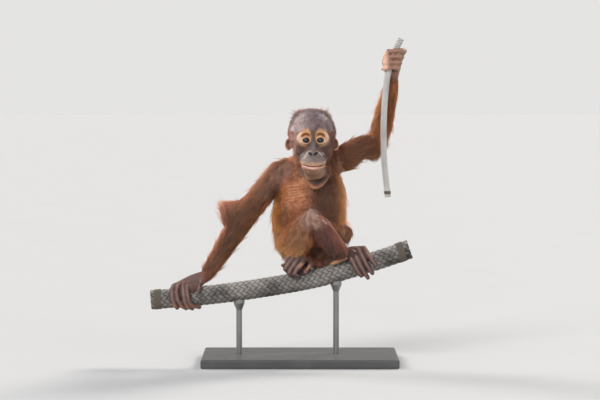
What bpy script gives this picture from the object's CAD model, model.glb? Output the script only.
"""The looks of a young orangutan on a braided rope perch, a life-size display model on its stand."""

import math

import bmesh
import bpy
import numpy as np
from mathutils import Matrix, Vector
from mathutils.bvhtree import BVHTree


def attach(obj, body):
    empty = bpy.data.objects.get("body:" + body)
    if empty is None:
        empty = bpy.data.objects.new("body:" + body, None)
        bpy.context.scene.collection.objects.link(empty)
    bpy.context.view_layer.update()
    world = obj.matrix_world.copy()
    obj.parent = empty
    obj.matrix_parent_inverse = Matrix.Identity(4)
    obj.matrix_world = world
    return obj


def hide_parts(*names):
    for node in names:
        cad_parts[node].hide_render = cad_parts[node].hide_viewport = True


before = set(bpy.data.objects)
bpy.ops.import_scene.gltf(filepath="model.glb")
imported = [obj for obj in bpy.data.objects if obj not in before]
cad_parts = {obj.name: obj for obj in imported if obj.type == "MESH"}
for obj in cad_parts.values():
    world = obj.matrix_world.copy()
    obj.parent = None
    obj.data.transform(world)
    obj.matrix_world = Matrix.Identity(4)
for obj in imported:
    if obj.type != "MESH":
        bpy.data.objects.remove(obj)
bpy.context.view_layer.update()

# The room and the camera. The model stands on a wide pale floor, and the camera is five metres off,
# a little above the level of the rope, so that it looks slightly down on the animal's lap.
CAMERA_TARGET = Vector((0.0, 0.0, 0.334))
CAMERA_DISTANCE = 5.0
CAMERA_RISE = math.radians(2.5)
VIEW_WIDTH = 1.23
SENSOR_WIDTH = 36.0
FLOOR_RADIUS = 60.0
FLOOR_TONE = (0.515, 0.533, 0.565, 1.0)
FLOOR_PALE = (0.547, 0.566, 0.60, 1.0)
ROOM_TONE = (1.0, 0.994, 0.981, 1.0)
HORIZON_LIGHT = 0.78
ROOM_LIGHT = 0.34
# Each lamp: name, where it shines from, how many degrees wide it is, strength, colour
LAMPS = (
    ("key_lamp", (-1.5, -2.6, 2.4), 22.0, 1.90, (1.0, 0.965, 0.92)),
    ("fill_lamp", (2.6, -2.4, 1.3), 40.0, 0.50, (0.93, 0.96, 1.0)),
    ("rim_lamp_right", (1.7, 1.9, 2.0), 16.0, 2.50, (1.0, 0.93, 0.82)),
    ("rim_lamp_left", (-1.9, 1.8, 1.7), 16.0, 1.60, (1.0, 0.95, 0.88)),
)


def tone(red, green, blue):
    """A colour given in the 0 to 255 steps of a display, as light values."""
    steps = np.array((red, green, blue), float) / 255.0
    light = np.where(steps <= 0.04045, steps / 12.92, ((steps + 0.055) / 1.055) ** 2.4)
    return tuple(float(step) for step in light)


def ink(red, green, blue):
    """The same colour as a socket takes it."""
    return (*tone(red, green, blue), 1.0)


def finish_named(name, **sockets):
    """A new material with its Principled shader, whose plain sockets are set by name."""
    made = bpy.data.materials.new(name)
    made.use_nodes = True
    shader = made.node_tree.nodes["Principled BSDF"]
    for socket, value in sockets.items():
        shader.inputs[socket.replace("_", " ")].default_value = value
    return made, made.node_tree, shader


def add_node(tree, kind, inputs=(), **settings):
    """A node with its settings, and its inputs linked from sockets or set to values."""
    node = tree.nodes.new(kind)
    for setting, value in settings.items():
        setattr(node, setting, value)
    for key, value in dict(inputs).items():
        if isinstance(value, bpy.types.NodeSocket):
            tree.links.new(value, node.inputs[key])
        else:
            node.inputs[key].default_value = value
    return node


def mixed(tree, share, first, second):
    """The colour socket of a Mix node between two colours, by a share."""
    return add_node(tree, "ShaderNodeMix", {0: share, 6: first, 7: second}, data_type="RGBA").outputs[2]


def colour_with(tree, shader, share, first, second):
    """Gives a finish two colours, mixed by a share."""
    tree.links.new(mixed(tree, share, first, second), shader.inputs["Base Color"])


def ramp(tree, value, low, high, start=0.0, end=1.0):
    """A value carried from the range low..high to start..end, and held at its ends."""
    node = add_node(tree, "ShaderNodeMapRange", {0: value, 1: low, 2: high, 3: start, 4: end})
    return node.outputs[0]


def bump(tree, shader, height, distance, strength=1.0, under=None):
    """A bump of the given depth in metres. It goes over an earlier bump where one is given."""
    node = add_node(tree, "ShaderNodeBump", {"Height": height, "Distance": distance, "Strength": strength})
    if under is not None:
        tree.links.new(under.outputs[0], node.inputs["Normal"])
    tree.links.new(node.outputs[0], shader.inputs["Normal"])
    return node


def object_places(tree):
    """The socket of Object coordinates."""
    return add_node(tree, "ShaderNodeTexCoord").outputs["Object"]


def noise(tree, places, scale, detail=3.0, roughness=0.55):
    """The value socket of a noise at a scale in turns per metre."""
    inputs = {"Vector": places, "Scale": scale, "Detail": detail, "Roughness": roughness}
    return add_node(tree, "ShaderNodeTexNoise", inputs).outputs[0]


def placed(name, data):
    """A new object of the scene, at the origin."""
    made = bpy.data.objects.new(name, data)
    bpy.context.scene.collection.objects.link(made)
    return made


def object_of(name, bm, *finishes):
    """A mesh object at the origin from a bmesh, smooth-shaded."""
    mesh = bpy.data.meshes.new(name)
    bm.to_mesh(mesh)
    bm.free()
    for finish in finishes:
        mesh.materials.append(finish)
    mesh.shade_smooth()
    return placed(name, mesh)


def aim(place, target):
    """The matrix that stands a camera or lamp at a place and turns it to a target."""
    way = Vector(target) - Vector(place)
    return Matrix.Translation(place) @ way.to_track_quat("-Z", "Y").to_matrix().to_4x4()


camera_data = bpy.data.cameras.new("camera")
camera_data.sensor_width = SENSOR_WIDTH
camera_data.lens = SENSOR_WIDTH * CAMERA_DISTANCE / VIEW_WIDTH
camera = placed("camera", camera_data)
camera_place = CAMERA_TARGET + CAMERA_DISTANCE * Vector((0.0, -math.cos(CAMERA_RISE), math.sin(CAMERA_RISE)))
camera.matrix_world = aim(camera_place, CAMERA_TARGET)
bpy.context.scene.camera = camera

for lamp_name, lamp_place, lamp_width, strength, lamp_colour in LAMPS:
    lamp_data = bpy.data.lights.new(lamp_name, "SUN")
    lamp_data.angle = math.radians(lamp_width)
    lamp_data.energy = strength
    lamp_data.color = lamp_colour
    placed(lamp_name, lamp_data).matrix_world = aim(lamp_place, CAMERA_TARGET)

room = bpy.data.worlds.new("room")
room.use_nodes = True
room_direction = add_node(room.node_tree, "ShaderNodeTexCoord").outputs["Generated"]
room_height = add_node(room.node_tree, "ShaderNodeSeparateXYZ", {0: room_direction}).outputs[2]
room_light = ramp(room.node_tree, room_height, 0.06, 0.30, HORIZON_LIGHT, ROOM_LIGHT)
room.node_tree.links.new(room_light, room.node_tree.nodes["Background"].inputs["Strength"])
room.node_tree.nodes["Background"].inputs["Color"].default_value = ROOM_TONE
bpy.context.scene.world = room
bpy.context.scene.view_settings.view_transform = "Standard"

floor_finish, floor_tree, floor_shader = finish_named("floor", Roughness=0.75)
floor_grain = noise(floor_tree, object_places(floor_tree), 3.0, 6.0)
colour_with(floor_tree, floor_shader, floor_grain, FLOOR_TONE, FLOOR_PALE)
floor_bm = bmesh.new()
bmesh.ops.create_circle(floor_bm, cap_ends=True, segments=96, radius=FLOOR_RADIUS)
floor = object_of("floor", floor_bm, floor_finish)

# The display stand: a flat base of powder-coated steel with a fine orange-peel skin, and two
# turned rods with saddles that carry the rope from below. They are the built solids, finished.
COATED = (ink(58, 58, 61), ink(92, 91, 92))
BARE_STEEL = (ink(122, 122, 124), ink(158, 157, 154))
for node_name, sheen_of_metal in (("stand_base", 0.0), ("stand_rod_right", 1.0), ("stand_rod_left", 1.0)):
    stand_finish, tree, shader = finish_named(node_name, Metallic=sheen_of_metal, Roughness=0.42)
    places = object_places(tree)
    cloud = noise(tree, places, 14.0, 5.0)
    peel = noise(tree, places, 900.0, 2.0)
    colour_with(tree, shader, cloud, *(BARE_STEEL if sheen_of_metal else COATED))
    tree.links.new(ramp(tree, cloud, 0.3, 0.7, 0.34, 0.52), shader.inputs["Roughness"])
    if sheen_of_metal:
        turning = add_node(tree, "ShaderNodeMapping", {"Vector": places, "Scale": (40.0, 40.0, 1600.0)})
        peel = noise(tree, turning.outputs[0], 1.0, 2.0)
    bump(tree, shader, peel, 0.00006, 0.6)
    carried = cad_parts[node_name]
    carried.data.materials.clear()
    carried.data.materials.append(stand_finish)

# The perch: a cut length of a 40 mm rope, braided from sixteen strands each way that pass over
# two and under two, each of two yarns side by side, round a laid core. Twine whips its cut ends.
ROPE_RADIUS = 0.0203
ROPE_ROUTE = (
    (-0.305, 0.0, 0.129),
    (-0.197, 0.0, 0.138),
    (-0.123, 0.0, 0.147),
    (-0.051, 0.0, 0.158),
    (0.000, 0.0, 0.167),
    (0.046, 0.0, 0.177),
    (0.102, 0.0, 0.193),
    (0.164, 0.0, 0.212),
    (0.224, 0.0, 0.233),
)
ROPE_STRANDS = 16
ROPE_PITCH = 0.0122
ROPE_STEP = 0.0036
ROUTE_MARKS = 600
TWINE_MARKS = 28


def along_route(route, share):
    """The point and heading at a share of a smooth curve through the route's points."""
    spans = len(route) - 1
    place = min(max(share, 0.0), 1.0) * spans
    index = min(int(place), spans - 1)
    t = place - index
    near = [Vector(route[min(max(index + k, 0), spans)]) for k in (-1, 0, 1, 2)]
    if index == 0:
        near[0] = near[1] * 2 - near[2]
    if index == spans - 1:
        near[3] = near[2] * 2 - near[1]
    a, b, c, d = near
    point = 0.5 * (
        b * 2 + (c - a) * t + (a * 2 - b * 5 + c * 4 - d) * t**2 + (b * 3 - a - c * 3 + d) * t**3
    )
    heading = 0.5 * ((c - a) + (a * 4 - b * 10 + c * 8 - d * 2) * t + (b * 9 - a * 3 - c * 9 + d * 3) * t**2)
    return point, heading.normalized()


def measured_route(route, step):
    """Points along a route at even steps of length, each with its heading and its length so far."""
    fine = [along_route(route, mark / ROUTE_MARKS) for mark in range(ROUTE_MARKS + 1)]
    lengths = [0.0]
    for (before, _), (after, _) in zip(fine, fine[1:]):
        lengths.append(lengths[-1] + (after - before).length)
    count = max(2, round(lengths[-1] / step))
    marks = np.linspace(0.0, 1.0, ROUTE_MARKS + 1)
    shares = np.interp(np.linspace(0.0, lengths[-1], count + 1), lengths, marks)
    return [along_route(route, share) for share in shares], lengths[-1] / count


def frame_round(heading):
    """Two directions across a rope: its front, towards the camera side, and its top."""
    front = Vector((0.0, -1.0, 0.0))
    front = (front - heading * front.dot(heading)).normalized()
    return front, heading.cross(front).normalized()


def add_tube(bm, rings):
    """A closed tube over rings of points, each ring a list of the same length."""
    loops = [[bm.verts.new(point) for point in ring] for ring in rings]
    bm.faces.new(loops[0][::-1])
    for before, after in zip(loops, loops[1:]):
        count = len(before)
        for corner in range(count):
            following = (corner + 1) % count
            bm.faces.new((before[corner], before[following], after[following], after[corner]))
    bm.faces.new(loops[-1])


def braid(bm, route, step, radius, strands, pitch, yarns, yarn_width, yarn_depth, wave, sides):
    """The braided cover of a rope: strands wound both ways, over two and under two."""
    places, length = measured_route(route, step)
    turn_rate = math.tau / (strands * pitch)
    middle_radius = radius - wave - yarn_depth / 2
    for way in (-1, 1):
        for strand in range(strands):
            for yarn in range(yarns):
                aside = (yarn - (yarns - 1) / 2) * yarn_width
                rings = []
                for index, (middle, heading) in enumerate(places):
                    along = index * length
                    crossing = along * strands * turn_rate / math.pi
                    weave = math.cos(math.pi / 2 * (2 * strand - way * crossing) - math.pi / 4)
                    angle = math.tau * strand / strands + way * along * turn_rate
                    front, top = frame_round(heading)
                    outward = front * math.cos(angle) + top * math.sin(angle)
                    sideways = front * -math.sin(angle) + top * math.cos(angle)
                    slope = way * turn_rate * middle_radius
                    forward = (heading + sideways * slope).normalized()
                    across = forward.cross(outward).normalized()
                    centre = middle + outward * (middle_radius - way * weave * wave) + across * aside
                    ring = []
                    for side in range(sides):
                        turn = math.tau * (side / sides + 0.05)
                        ring.append(
                            centre
                            + across * (math.cos(turn) * yarn_width * 0.5)
                            + outward * (math.sin(turn) * yarn_depth / 2)
                        )
                    rings.append(ring)
                add_tube(bm, rings)


def set_rise(made, route, radius, depth):
    """Keeps how high each point of a braid stands, from 0 in its gaps to 1 on its outside, as rise."""
    places = np.array([tuple(vertex.co) for vertex in made.data.vertices])
    line = [tuple(along_route(route, share / 120)[0]) for share in range(121)]
    distance, _ = near_line(places, line)
    layer = made.data.attributes.new("rise", "FLOAT", "POINT")
    layer.data.foreach_set("value", np.clip((distance - radius + depth) / depth, 0.0, 1.0).astype(np.float32))


def add_core(bm, route, step, radius, sides=24):
    """The plain tube inside a braid."""
    places, _ = measured_route(route, step)
    rings = []
    for middle, heading in places:
        front, top = frame_round(heading)
        rings.append([
            middle + (front * math.cos(math.tau * k / sides) + top * math.sin(math.tau * k / sides)) * radius
            for k in range(sides)
        ])
    add_tube(bm, rings)


def add_whipping(bm, route, radius, thread, turns, start, sides=6):
    """Turns of twine wound tight round a rope, from a share of its route on."""
    places, length = measured_route(route, 0.0008)
    steps = turns * TWINE_MARKS
    rings = []
    first = int(start * (len(places) - 1))
    for step in range(steps + 1):
        along = step / TWINE_MARKS * thread * 2 / length
        index = min(first + along, len(places) - 1.001)
        low = int(index)
        middle = places[low][0].lerp(places[low + 1][0], index - low)
        heading = places[low][1]
        front, top = frame_round(heading)
        angle = math.tau * step / TWINE_MARKS
        outward = front * math.cos(angle) + top * math.sin(angle)
        centre = middle + outward * (radius + thread * 0.6)
        rings.append([
            centre + outward * (math.sin(math.tau * k / sides) * thread)
            + heading * (math.cos(math.tau * k / sides) * thread)
            for k in range(sides)
        ])
    add_tube(bm, rings)


def near_line(places, line):
    """How far each place is from a line of points, and where along it the nearest point is, from 0 to 1."""
    line = np.array([tuple(point) for point in line], float)
    best = np.full(len(places), np.inf)
    share = np.zeros(len(places))
    for index in range(len(line) - 1):
        start, way = line[index], line[index + 1] - line[index]
        along = np.clip((places - start) @ way / max(way @ way, 1e-12), 0.0, 1.0)
        distance = np.linalg.norm(places - start - along[:, None] * way, axis=1)
        nearer = distance < best
        best = np.where(nearer, distance, best)
        share = np.where(nearer, (index + along) / (len(line) - 1), share)
    return best, share


def rope_finish(name, light, dark, yarn_scale, gap_depth=0.94):
    """Matt braided fibre: greyed, dusty on top, darker low in the braid, with fine twisted filaments."""
    made, tree, shader = finish_named(name, Roughness=0.85, Specular_IOR_Level=0.25)
    places = object_places(tree)
    cloud = noise(tree, places, 26.0, 4.0)
    fleck = noise(tree, places, 420.0, 3.0)
    laid = {"Vector": places, "Rotation": (0.0, 0.7, 0.5), "Scale": (1.0, 1.0, 5.0)}
    fibre = add_node(tree, "ShaderNodeMapping", laid)
    filament = noise(tree, fibre.outputs[0], yarn_scale, 2.0)
    colour = mixed(tree, ramp(tree, cloud, 0.36, 0.66), light, dark)
    colour = mixed(tree, ramp(tree, fleck, 0.35, 0.7, 0.0, 0.45), colour, ink(66, 62, 58))
    facing = add_node(tree, "ShaderNodeNewGeometry")
    upward = add_node(tree, "ShaderNodeSeparateXYZ", {0: facing.outputs["Normal"]})
    dusty = ramp(tree, upward.outputs[2], 0.2, 0.95, 0.0, 0.60)
    colour = mixed(tree, dusty, colour, ink(222, 220, 220))
    rise = add_node(tree, "ShaderNodeAttribute", attribute_name="rise").outputs["Fac"]
    colour = mixed(tree, ramp(tree, rise, 0.45, 0.88, gap_depth, 0.0), colour, ink(24, 22, 20))
    tree.links.new(colour, shader.inputs["Base Color"])
    bump(tree, shader, filament, 0.0003, 0.8)
    return made


perch_finish = rope_finish("perch_braid", ink(178, 172, 168), ink(88, 84, 78), 1500.0)
perch_bm = bmesh.new()
braid(
    perch_bm, ROPE_ROUTE, ROPE_STEP, ROPE_RADIUS, ROPE_STRANDS, ROPE_PITCH,
    yarns=2, yarn_width=0.0027, yarn_depth=0.0026, wave=0.0013, sides=6,
)
perch = object_of("perch_braid", perch_bm, perch_finish)
set_rise(perch, ROPE_ROUTE, ROPE_RADIUS, depth=0.0046)
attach(perch, "root")
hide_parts("perch_rope")
core_finish, tree, shader = finish_named("perch_core", Roughness=0.9)
core_grain = noise(tree, object_places(tree), 260.0, 4.0)
colour_with(tree, shader, core_grain, ink(52, 48, 45), ink(98, 92, 86))
bump(tree, shader, core_grain, 0.0006)
core_bm = bmesh.new()
add_core(core_bm, ROPE_ROUTE, 0.008, ROPE_RADIUS - 0.0040)
perch_core = object_of("perch_core", core_bm, core_finish)
twine_finish, tree, shader = finish_named("whipping_twine", Roughness=0.8)
twine_grain = noise(tree, object_places(tree), 900.0, 3.0)
colour_with(tree, shader, twine_grain, ink(70, 64, 58), ink(128, 118, 106))
bump(tree, shader, twine_grain, 0.0002)
whipping_bm = bmesh.new()
for start in (0.012, 0.955):
    add_whipping(whipping_bm, ROPE_ROUTE, ROPE_RADIUS - 0.0006, 0.0008, 9, start)
whipping = object_of("perch_whipping", whipping_bm, twine_finish)
for piece in (perch_core, whipping):
    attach(piece, "root")

# The hand line: a 13 mm braided cord of pale grey-white yarn that the raised hand closes on,
# cut short above and below the hand and whipped with the same twine.
LINE_RADIUS = 0.0066
LINE_ROUTE = (
    (0.208, 0.034, 0.664),
    (0.196, 0.034, 0.640),
    (0.187, 0.033, 0.617),
    (0.180, 0.031, 0.588),
    (0.176, 0.029, 0.555),
    (0.173, 0.027, 0.514),
    (0.172, 0.025, 0.468),
    (0.173, 0.023, 0.420),
    (0.177, 0.022, 0.375),
    (0.181, 0.022, 0.340),
)
line_finish = rope_finish("hand_line_braid", ink(244, 242, 240), ink(206, 202, 200), 2400.0, 0.86)
line_bm = bmesh.new()
braid(
    line_bm, LINE_ROUTE, step=0.0015, radius=LINE_RADIUS, strands=8, pitch=0.0046,
    yarns=1, yarn_width=0.0030, yarn_depth=0.0016, wave=0.00042, sides=5,
)
line_braid = object_of("hand_line_braid", line_bm, line_finish)
set_rise(line_braid, LINE_ROUTE, LINE_RADIUS, depth=0.0021)
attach(line_braid, "root")
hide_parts("hand_line")
line_core_bm = bmesh.new()
add_core(line_core_bm, LINE_ROUTE, 0.006, LINE_RADIUS - 0.0016, 16)
line_core = object_of("hand_line_core", line_core_bm, core_finish)
line_whipping_bm = bmesh.new()
add_whipping(line_whipping_bm, LINE_ROUTE, LINE_RADIUS - 0.0004, 0.0005, 7, 0.965)
line_whipping = object_of("hand_line_whipping", line_whipping_bm, twine_finish)
for piece in (line_core, line_whipping):
    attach(piece, "root")

# The skin: the whole animal in one closed surface, head, ears, trunk, limbs, hands and feet, run
# together from the sizes of the solids and drawn finer over the face, hands and feet. The wax or
# resin skin of such a model is cast in one, so it shows no seam where the solids are parted.
SIDEWAYS = Vector((1.0, 0.0, 0.0))
UPWARD = Vector((0.0, 0.0, 1.0))
TRUNK_VOXEL = 0.0026
HAND_VOXEL = 0.0012
HEAD_VOXEL = 0.0012
SKIN_VOXEL = 0.0013
SKIN_TRIANGLES = 118000
SKIN_SUNK = 0.0003
TRUNK = (
    ((0.012, 0.028, 0.240), 0.046, 0.036),
    ((0.013, 0.026, 0.252), 0.062, 0.048),
    ((0.017, 0.016, 0.288), 0.071, 0.058),
    ((0.020, 0.008, 0.330), 0.070, 0.055),
    ((0.023, 0.005, 0.366), 0.066, 0.051),
    ((0.026, 0.007, 0.390), 0.054, 0.043),
    ((0.027, 0.009, 0.405), 0.040, 0.034),
    ((0.027, 0.010, 0.413), 0.020, 0.018),
)
NECK = (
    ((0.027, 0.012, 0.392), 0.034, 0.032),
    ((0.027, 0.010, 0.418), 0.033, 0.033),
    ((0.026, 0.000, 0.450), 0.032, 0.034),
)
# The rolled edge of the throat skin, looser and lower than in the solids
THROAT = (
    ((0.0110, -0.0340, 0.3970), 0.0062, 0.0062),
    ((0.0140, -0.0470, 0.3810), 0.0066, 0.0066),
    ((0.0190, -0.0545, 0.3680), 0.0068, 0.0068),
    ((0.0300, -0.0575, 0.3625), 0.0070, 0.0070),
    ((0.0425, -0.0530, 0.3675), 0.0068, 0.0068),
    ((0.0530, -0.0430, 0.3800), 0.0066, 0.0066),
    ((0.0585, -0.0300, 0.3970), 0.0062, 0.0062),
)
# The sagging throat skin inside that rolled edge
THROAT_PAD = ((0.0320, -0.0380, 0.3880), (0.0250, 0.0230, 0.0240))
ARM_RIGHT = (
    ((-0.036, 0.006, 0.388), 0.0250, 0.0250),
    ((-0.073, 0.012, 0.351), 0.0210, 0.0205),
    ((-0.112, 0.018, 0.304), 0.0200, 0.0200),
    ((-0.134, 0.014, 0.269), 0.0195, 0.0185),
    ((-0.155, 0.007, 0.237), 0.0165, 0.0155),
    ((-0.180, 0.000, 0.198), 0.0128, 0.0115),
    ((-0.196, -0.002, 0.176), 0.0115, 0.0100),
)
ARM_LEFT = (
    ((0.086, 0.020, 0.416), 0.0245, 0.0245),
    ((0.122, 0.046, 0.440), 0.0195, 0.0195),
    ((0.161, 0.070, 0.450), 0.0185, 0.0185),
    ((0.170, 0.068, 0.486), 0.0180, 0.0175),
    ((0.178, 0.062, 0.522), 0.0155, 0.0145),
    ((0.188, 0.055, 0.562), 0.0120, 0.0110),
    ((0.191, 0.052, 0.582), 0.0115, 0.0100),
)
LEG_RIGHT = (
    ((-0.0140, 0.0120, 0.2470), 0.0370, 0.0360),
    ((-0.0070, -0.0140, 0.2540), 0.0330, 0.0320),
    ((0.0060, -0.0420, 0.2740), 0.0270, 0.0270),
    ((0.0240, -0.0680, 0.3015), 0.0205, 0.0205),
    ((0.0450, -0.0600, 0.2760), 0.0190, 0.0190),
    ((0.0660, -0.0420, 0.2500), 0.0155, 0.0155),
    ((0.0840, -0.0240, 0.2280), 0.0118, 0.0118),
)
LEG_LEFT = (
    ((0.040, 0.046, 0.248), 0.0310, 0.0310),
    ((0.066, 0.024, 0.257), 0.0260, 0.0260),
    ((0.092, -0.006, 0.267), 0.0185, 0.0185),
    ((0.070, 0.003, 0.246), 0.0165, 0.0165),
    ((0.046, 0.006, 0.225), 0.0135, 0.0135),
    ((0.026, 0.006, 0.210), 0.0115, 0.0115),
)
COLLAR = ((0.027, 0.012, 0.400), 0.0310, 0.0300)
SHOULDER_RIGHT = ((-0.034, 0.006, 0.390), 0.0255, 0.0255)
SHOULDER_LEFT = ((0.084, 0.018, 0.415), 0.0255, 0.0255)


def ring_frame(centre, along, across, deep, side):
    """The matrix that lays a unit circle across a limb, `across` wide towards `side`."""
    along = along.normalized()
    wide = (side - along * side.dot(along)).normalized()
    thick = along.cross(wide)
    turn = Matrix((wide * across, thick * deep, along)).transposed().to_4x4()
    return Matrix.Translation(centre) @ turn


def add_limb(bm, stations, side=SIDEWAYS, sides=14, cap_rings=2):
    """A closed limb with round ends, through stations of (centre, half width, half depth)."""
    centres = [Vector(station[0]) for station in stations]
    last = len(stations) - 1
    rings = []
    for index, (_, across, deep) in enumerate(stations):
        along = (centres[min(index + 1, last)] - centres[max(index - 1, 0)]).normalized()
        rings.append((centres[index], along, across, deep))
    for end in (0, last):
        centre, along, across, deep = rings[0] if end == 0 else rings[-1]
        outward = -along if end == 0 else along
        for step in range(1, cap_rings + 1):
            lean = math.radians(78) * step / cap_rings
            reach = math.sin(lean) * min(across, deep)
            shrink = math.cos(lean)
            cap = (centre + outward * reach, along, across * shrink, deep * shrink)
            if end == 0:
                rings.insert(0, cap)
            else:
                rings.append(cap)
    loops = []
    for centre, along, across, deep in rings:
        ring = ring_frame(centre, along, across, deep, side)
        made = bmesh.ops.create_circle(bm, cap_ends=False, segments=sides, radius=1.0, matrix=ring)
        loops.append(made["verts"])
    for lower, upper in zip(loops, loops[1:]):
        for corner in range(sides):
            following = (corner + 1) % sides
            bm.faces.new((lower[corner], lower[following], upper[following], upper[corner]))
    bm.faces.new(loops[0][::-1])
    bm.faces.new(loops[-1])


def add_ball(bm, centre, radii, turn=None, segments=20, rings=12):
    """An ellipsoid, turned by a rotation matrix where one is given."""
    seat = Matrix.Translation(Vector(centre))
    if turn is not None:
        seat = seat @ turn.to_4x4()
    seat = seat @ Matrix.Diagonal((*radii, 1.0))
    bmesh.ops.create_uvsphere(bm, u_segments=segments, v_segments=rings, radius=1.0, matrix=seat)


def bake(made):
    """Applies the object's modifiers to its mesh."""
    graph = bpy.context.evaluated_depsgraph_get()
    graph.update()
    mesh = bpy.data.meshes.new_from_object(made.evaluated_get(graph), depsgraph=graph)
    made.modifiers.clear()
    made.data = mesh
    return made


def run_together(bm, voxel, ease):
    """One closed skin over overlapping forms: remeshed at a voxel size and eased. Returns its mesh."""
    made = object_of("run_together", bm)
    remesh = made.modifiers.new("Fuse", "REMESH")
    remesh.mode = "VOXEL"
    remesh.voxel_size = voxel
    smooth = made.modifiers.new("Ease", "SMOOTH")
    smooth.factor = 0.5
    smooth.iterations = ease
    bake(made)
    mesh = made.data
    bpy.data.objects.remove(made)
    return mesh


trunk_bm = bmesh.new()
add_limb(trunk_bm, TRUNK, sides=24)
add_limb(trunk_bm, NECK, sides=18)
for stations in (
    ARM_RIGHT, (COLLAR, SHOULDER_RIGHT), ARM_LEFT, (COLLAR, SHOULDER_LEFT), LEG_RIGHT, LEG_LEFT,
):
    add_limb(trunk_bm, stations, side=UPWARD)
trunk_mesh = run_together(trunk_bm, TRUNK_VOXEL, 8)


def eased_stations(stations, steps):
    """More stations on a soft curve through the given ones, each as deep as it is wide."""
    centres = [Vector(station[0]) for station in stations]
    ends = [centres[0] * 2 - centres[1]] + centres + [centres[-1] * 2 - centres[-2]]
    eased = []
    for index in range(len(stations) - 1):
        before, start, end, after = ends[index:index + 4]
        for step in range(steps):
            share = step / steps
            place = (
                start * 2 + (end - before) * share
                + (before * 2 - start * 5 + end * 4 - after) * share ** 2
                + (start * 3 - before - end * 3 + after) * share ** 3
            ) / 2
            girth = stations[index][1] + (stations[index + 1][1] - stations[index][1]) * share
            eased.append((tuple(place), girth, girth))
    return tuple(eased) + (stations[-1],)


SOFT_THROAT = eased_stations(THROAT, 4)
THROAT_LINE = [station[0] for station in SOFT_THROAT]
throat_bm = bmesh.new()
add_limb(throat_bm, SOFT_THROAT, side=UPWARD, sides=12)
add_ball(throat_bm, *THROAT_PAD)
throat_mesh = run_together(throat_bm, 0.0020, 3)

# Hands and feet, cast with the skin: fingers and toes closed round the rope, the thumb and the
# big toe short, and the left foot shut into a fist on top of the perch.
# The right hand's fingers on the perch: place along it, turn round it and distance, from the knuckle on
FINGERS = (
    (
        (-0.2290, 10, 0.0262), (-0.2300, 45, 0.0268), (-0.2292, 80, 0.0265),
        (-0.2270, 108, 0.0262), (-0.2190, 136, 0.0258), (-0.2080, 150, 0.0250),
    ),
    (
        (-0.2370, 8, 0.0266), (-0.2380, 45, 0.0268), (-0.2372, 80, 0.0265),
        (-0.2355, 108, 0.0262), (-0.2300, 138, 0.0258), (-0.2225, 158, 0.0252),
    ),
    (
        (-0.2425, 4, 0.0268), (-0.2490, 30, 0.0275), (-0.2520, 62, 0.0270),
        (-0.2500, 95, 0.0265), (-0.2430, 128, 0.0260), (-0.2350, 150, 0.0252),
    ),
    (
        (-0.2470, -2, 0.0270), (-0.2570, 20, 0.0275), (-0.2610, 50, 0.0270),
        (-0.2615, 85, 0.0262), (-0.2580, 115, 0.0258), (-0.2530, 140, 0.0250),
    ),
)
THUMB = ((-0.2015, 22, 0.0280), (-0.2045, 46, 0.0280), (-0.2070, 66, 0.0280))
FINGER_GIRTH = (0.0064, 0.0055, 0.0060, 0.0053, 0.0054, 0.0051)
LEFT_FINGER_HEIGHTS = (0.6395, 0.6275, 0.6155, 0.6045)
LEFT_THUMB_HEIGHT = 0.622
LEFT_GRIP = (
    (0.016, 0.020, -0.004),
    (0.019, 0.004, 0.000),
    (0.0125, -0.0105, 0.001),
    (-0.001, -0.0135, 0.0005),
    (-0.0115, -0.0075, -0.001),
    (-0.0125, 0.0015, -0.002),
)
LEFT_GIRTH = (0.0066, 0.0062, 0.0058, 0.0056, 0.0050, 0.0045)
# The right foot's toes: place along the perch, and turn and distance of each tip
RIGHT_TOES = ((0.1035, 135, 0.0275), (0.1150, 148, 0.0325), (0.1260, 138, 0.0285), (0.1370, 106, 0.0265))
TOE_GIRTH = (0.0066, 0.0062, 0.0059, 0.0055, 0.0052, 0.0048)
# How a right toe arches: shares of its turn, each with its distance. None stands for the tip's own
TOE_ARCH = ((0.0, 0.0305), (0.22, 0.0345), (0.44, 0.0310), (0.66, 0.0275), (0.84, 0.0275), (1.0, None))
RIGHT_HEEL = ((0.070, -0.004, 0.2135), (0.088, -0.006, 0.2200))
# The left foot's toes from knuckle to tip
LEFT_TOES = (
    (
        (-0.0130, -0.0190, 0.2265), (-0.0265, -0.0200, 0.2120),
        (-0.0360, -0.0210, 0.2020), (-0.0280, -0.0150, 0.1940),
    ),
    (
        (-0.0050, -0.0220, 0.2250), (-0.0205, -0.0250, 0.2070),
        (-0.0310, -0.0260, 0.1930), (-0.0230, -0.0200, 0.1860),
    ),
    (
        (0.0030, -0.0240, 0.2205), (-0.0130, -0.0290, 0.2010),
        (-0.0230, -0.0295, 0.1865), (-0.0155, -0.0240, 0.1810),
    ),
    (
        (0.0100, -0.0240, 0.2145), (-0.0045, -0.0300, 0.1960),
        (-0.0125, -0.0300, 0.1835), (-0.0050, -0.0250, 0.1800),
    ),
)
LEFT_TOE_GIRTH = (0.0070, 0.0056, 0.0054, 0.0048)
# Above this height a finger holds the hand line, and below it a finger or toe holds the perch
HAND_LINE_FROM = 0.5
# What the nails and the colours need of each finger and toe, kept as it is built
digit_ends = []
digit_lines = []
digit_ridges = []


def share_where(route, short_of):
    """The share of a route up to which its points are short of a limit."""
    low, high = 0.0, 1.0
    for _ in range(40):
        middle = (low + high) / 2
        if short_of(along_route(route, middle)[0]):
            low = middle
        else:
            high = middle
    return low


def rope_middle(x):
    """The middle point and the heading of the perch rope at x."""
    return along_route(ROPE_ROUTE, share_where(ROPE_ROUTE, lambda point: point.x < x))


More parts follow.
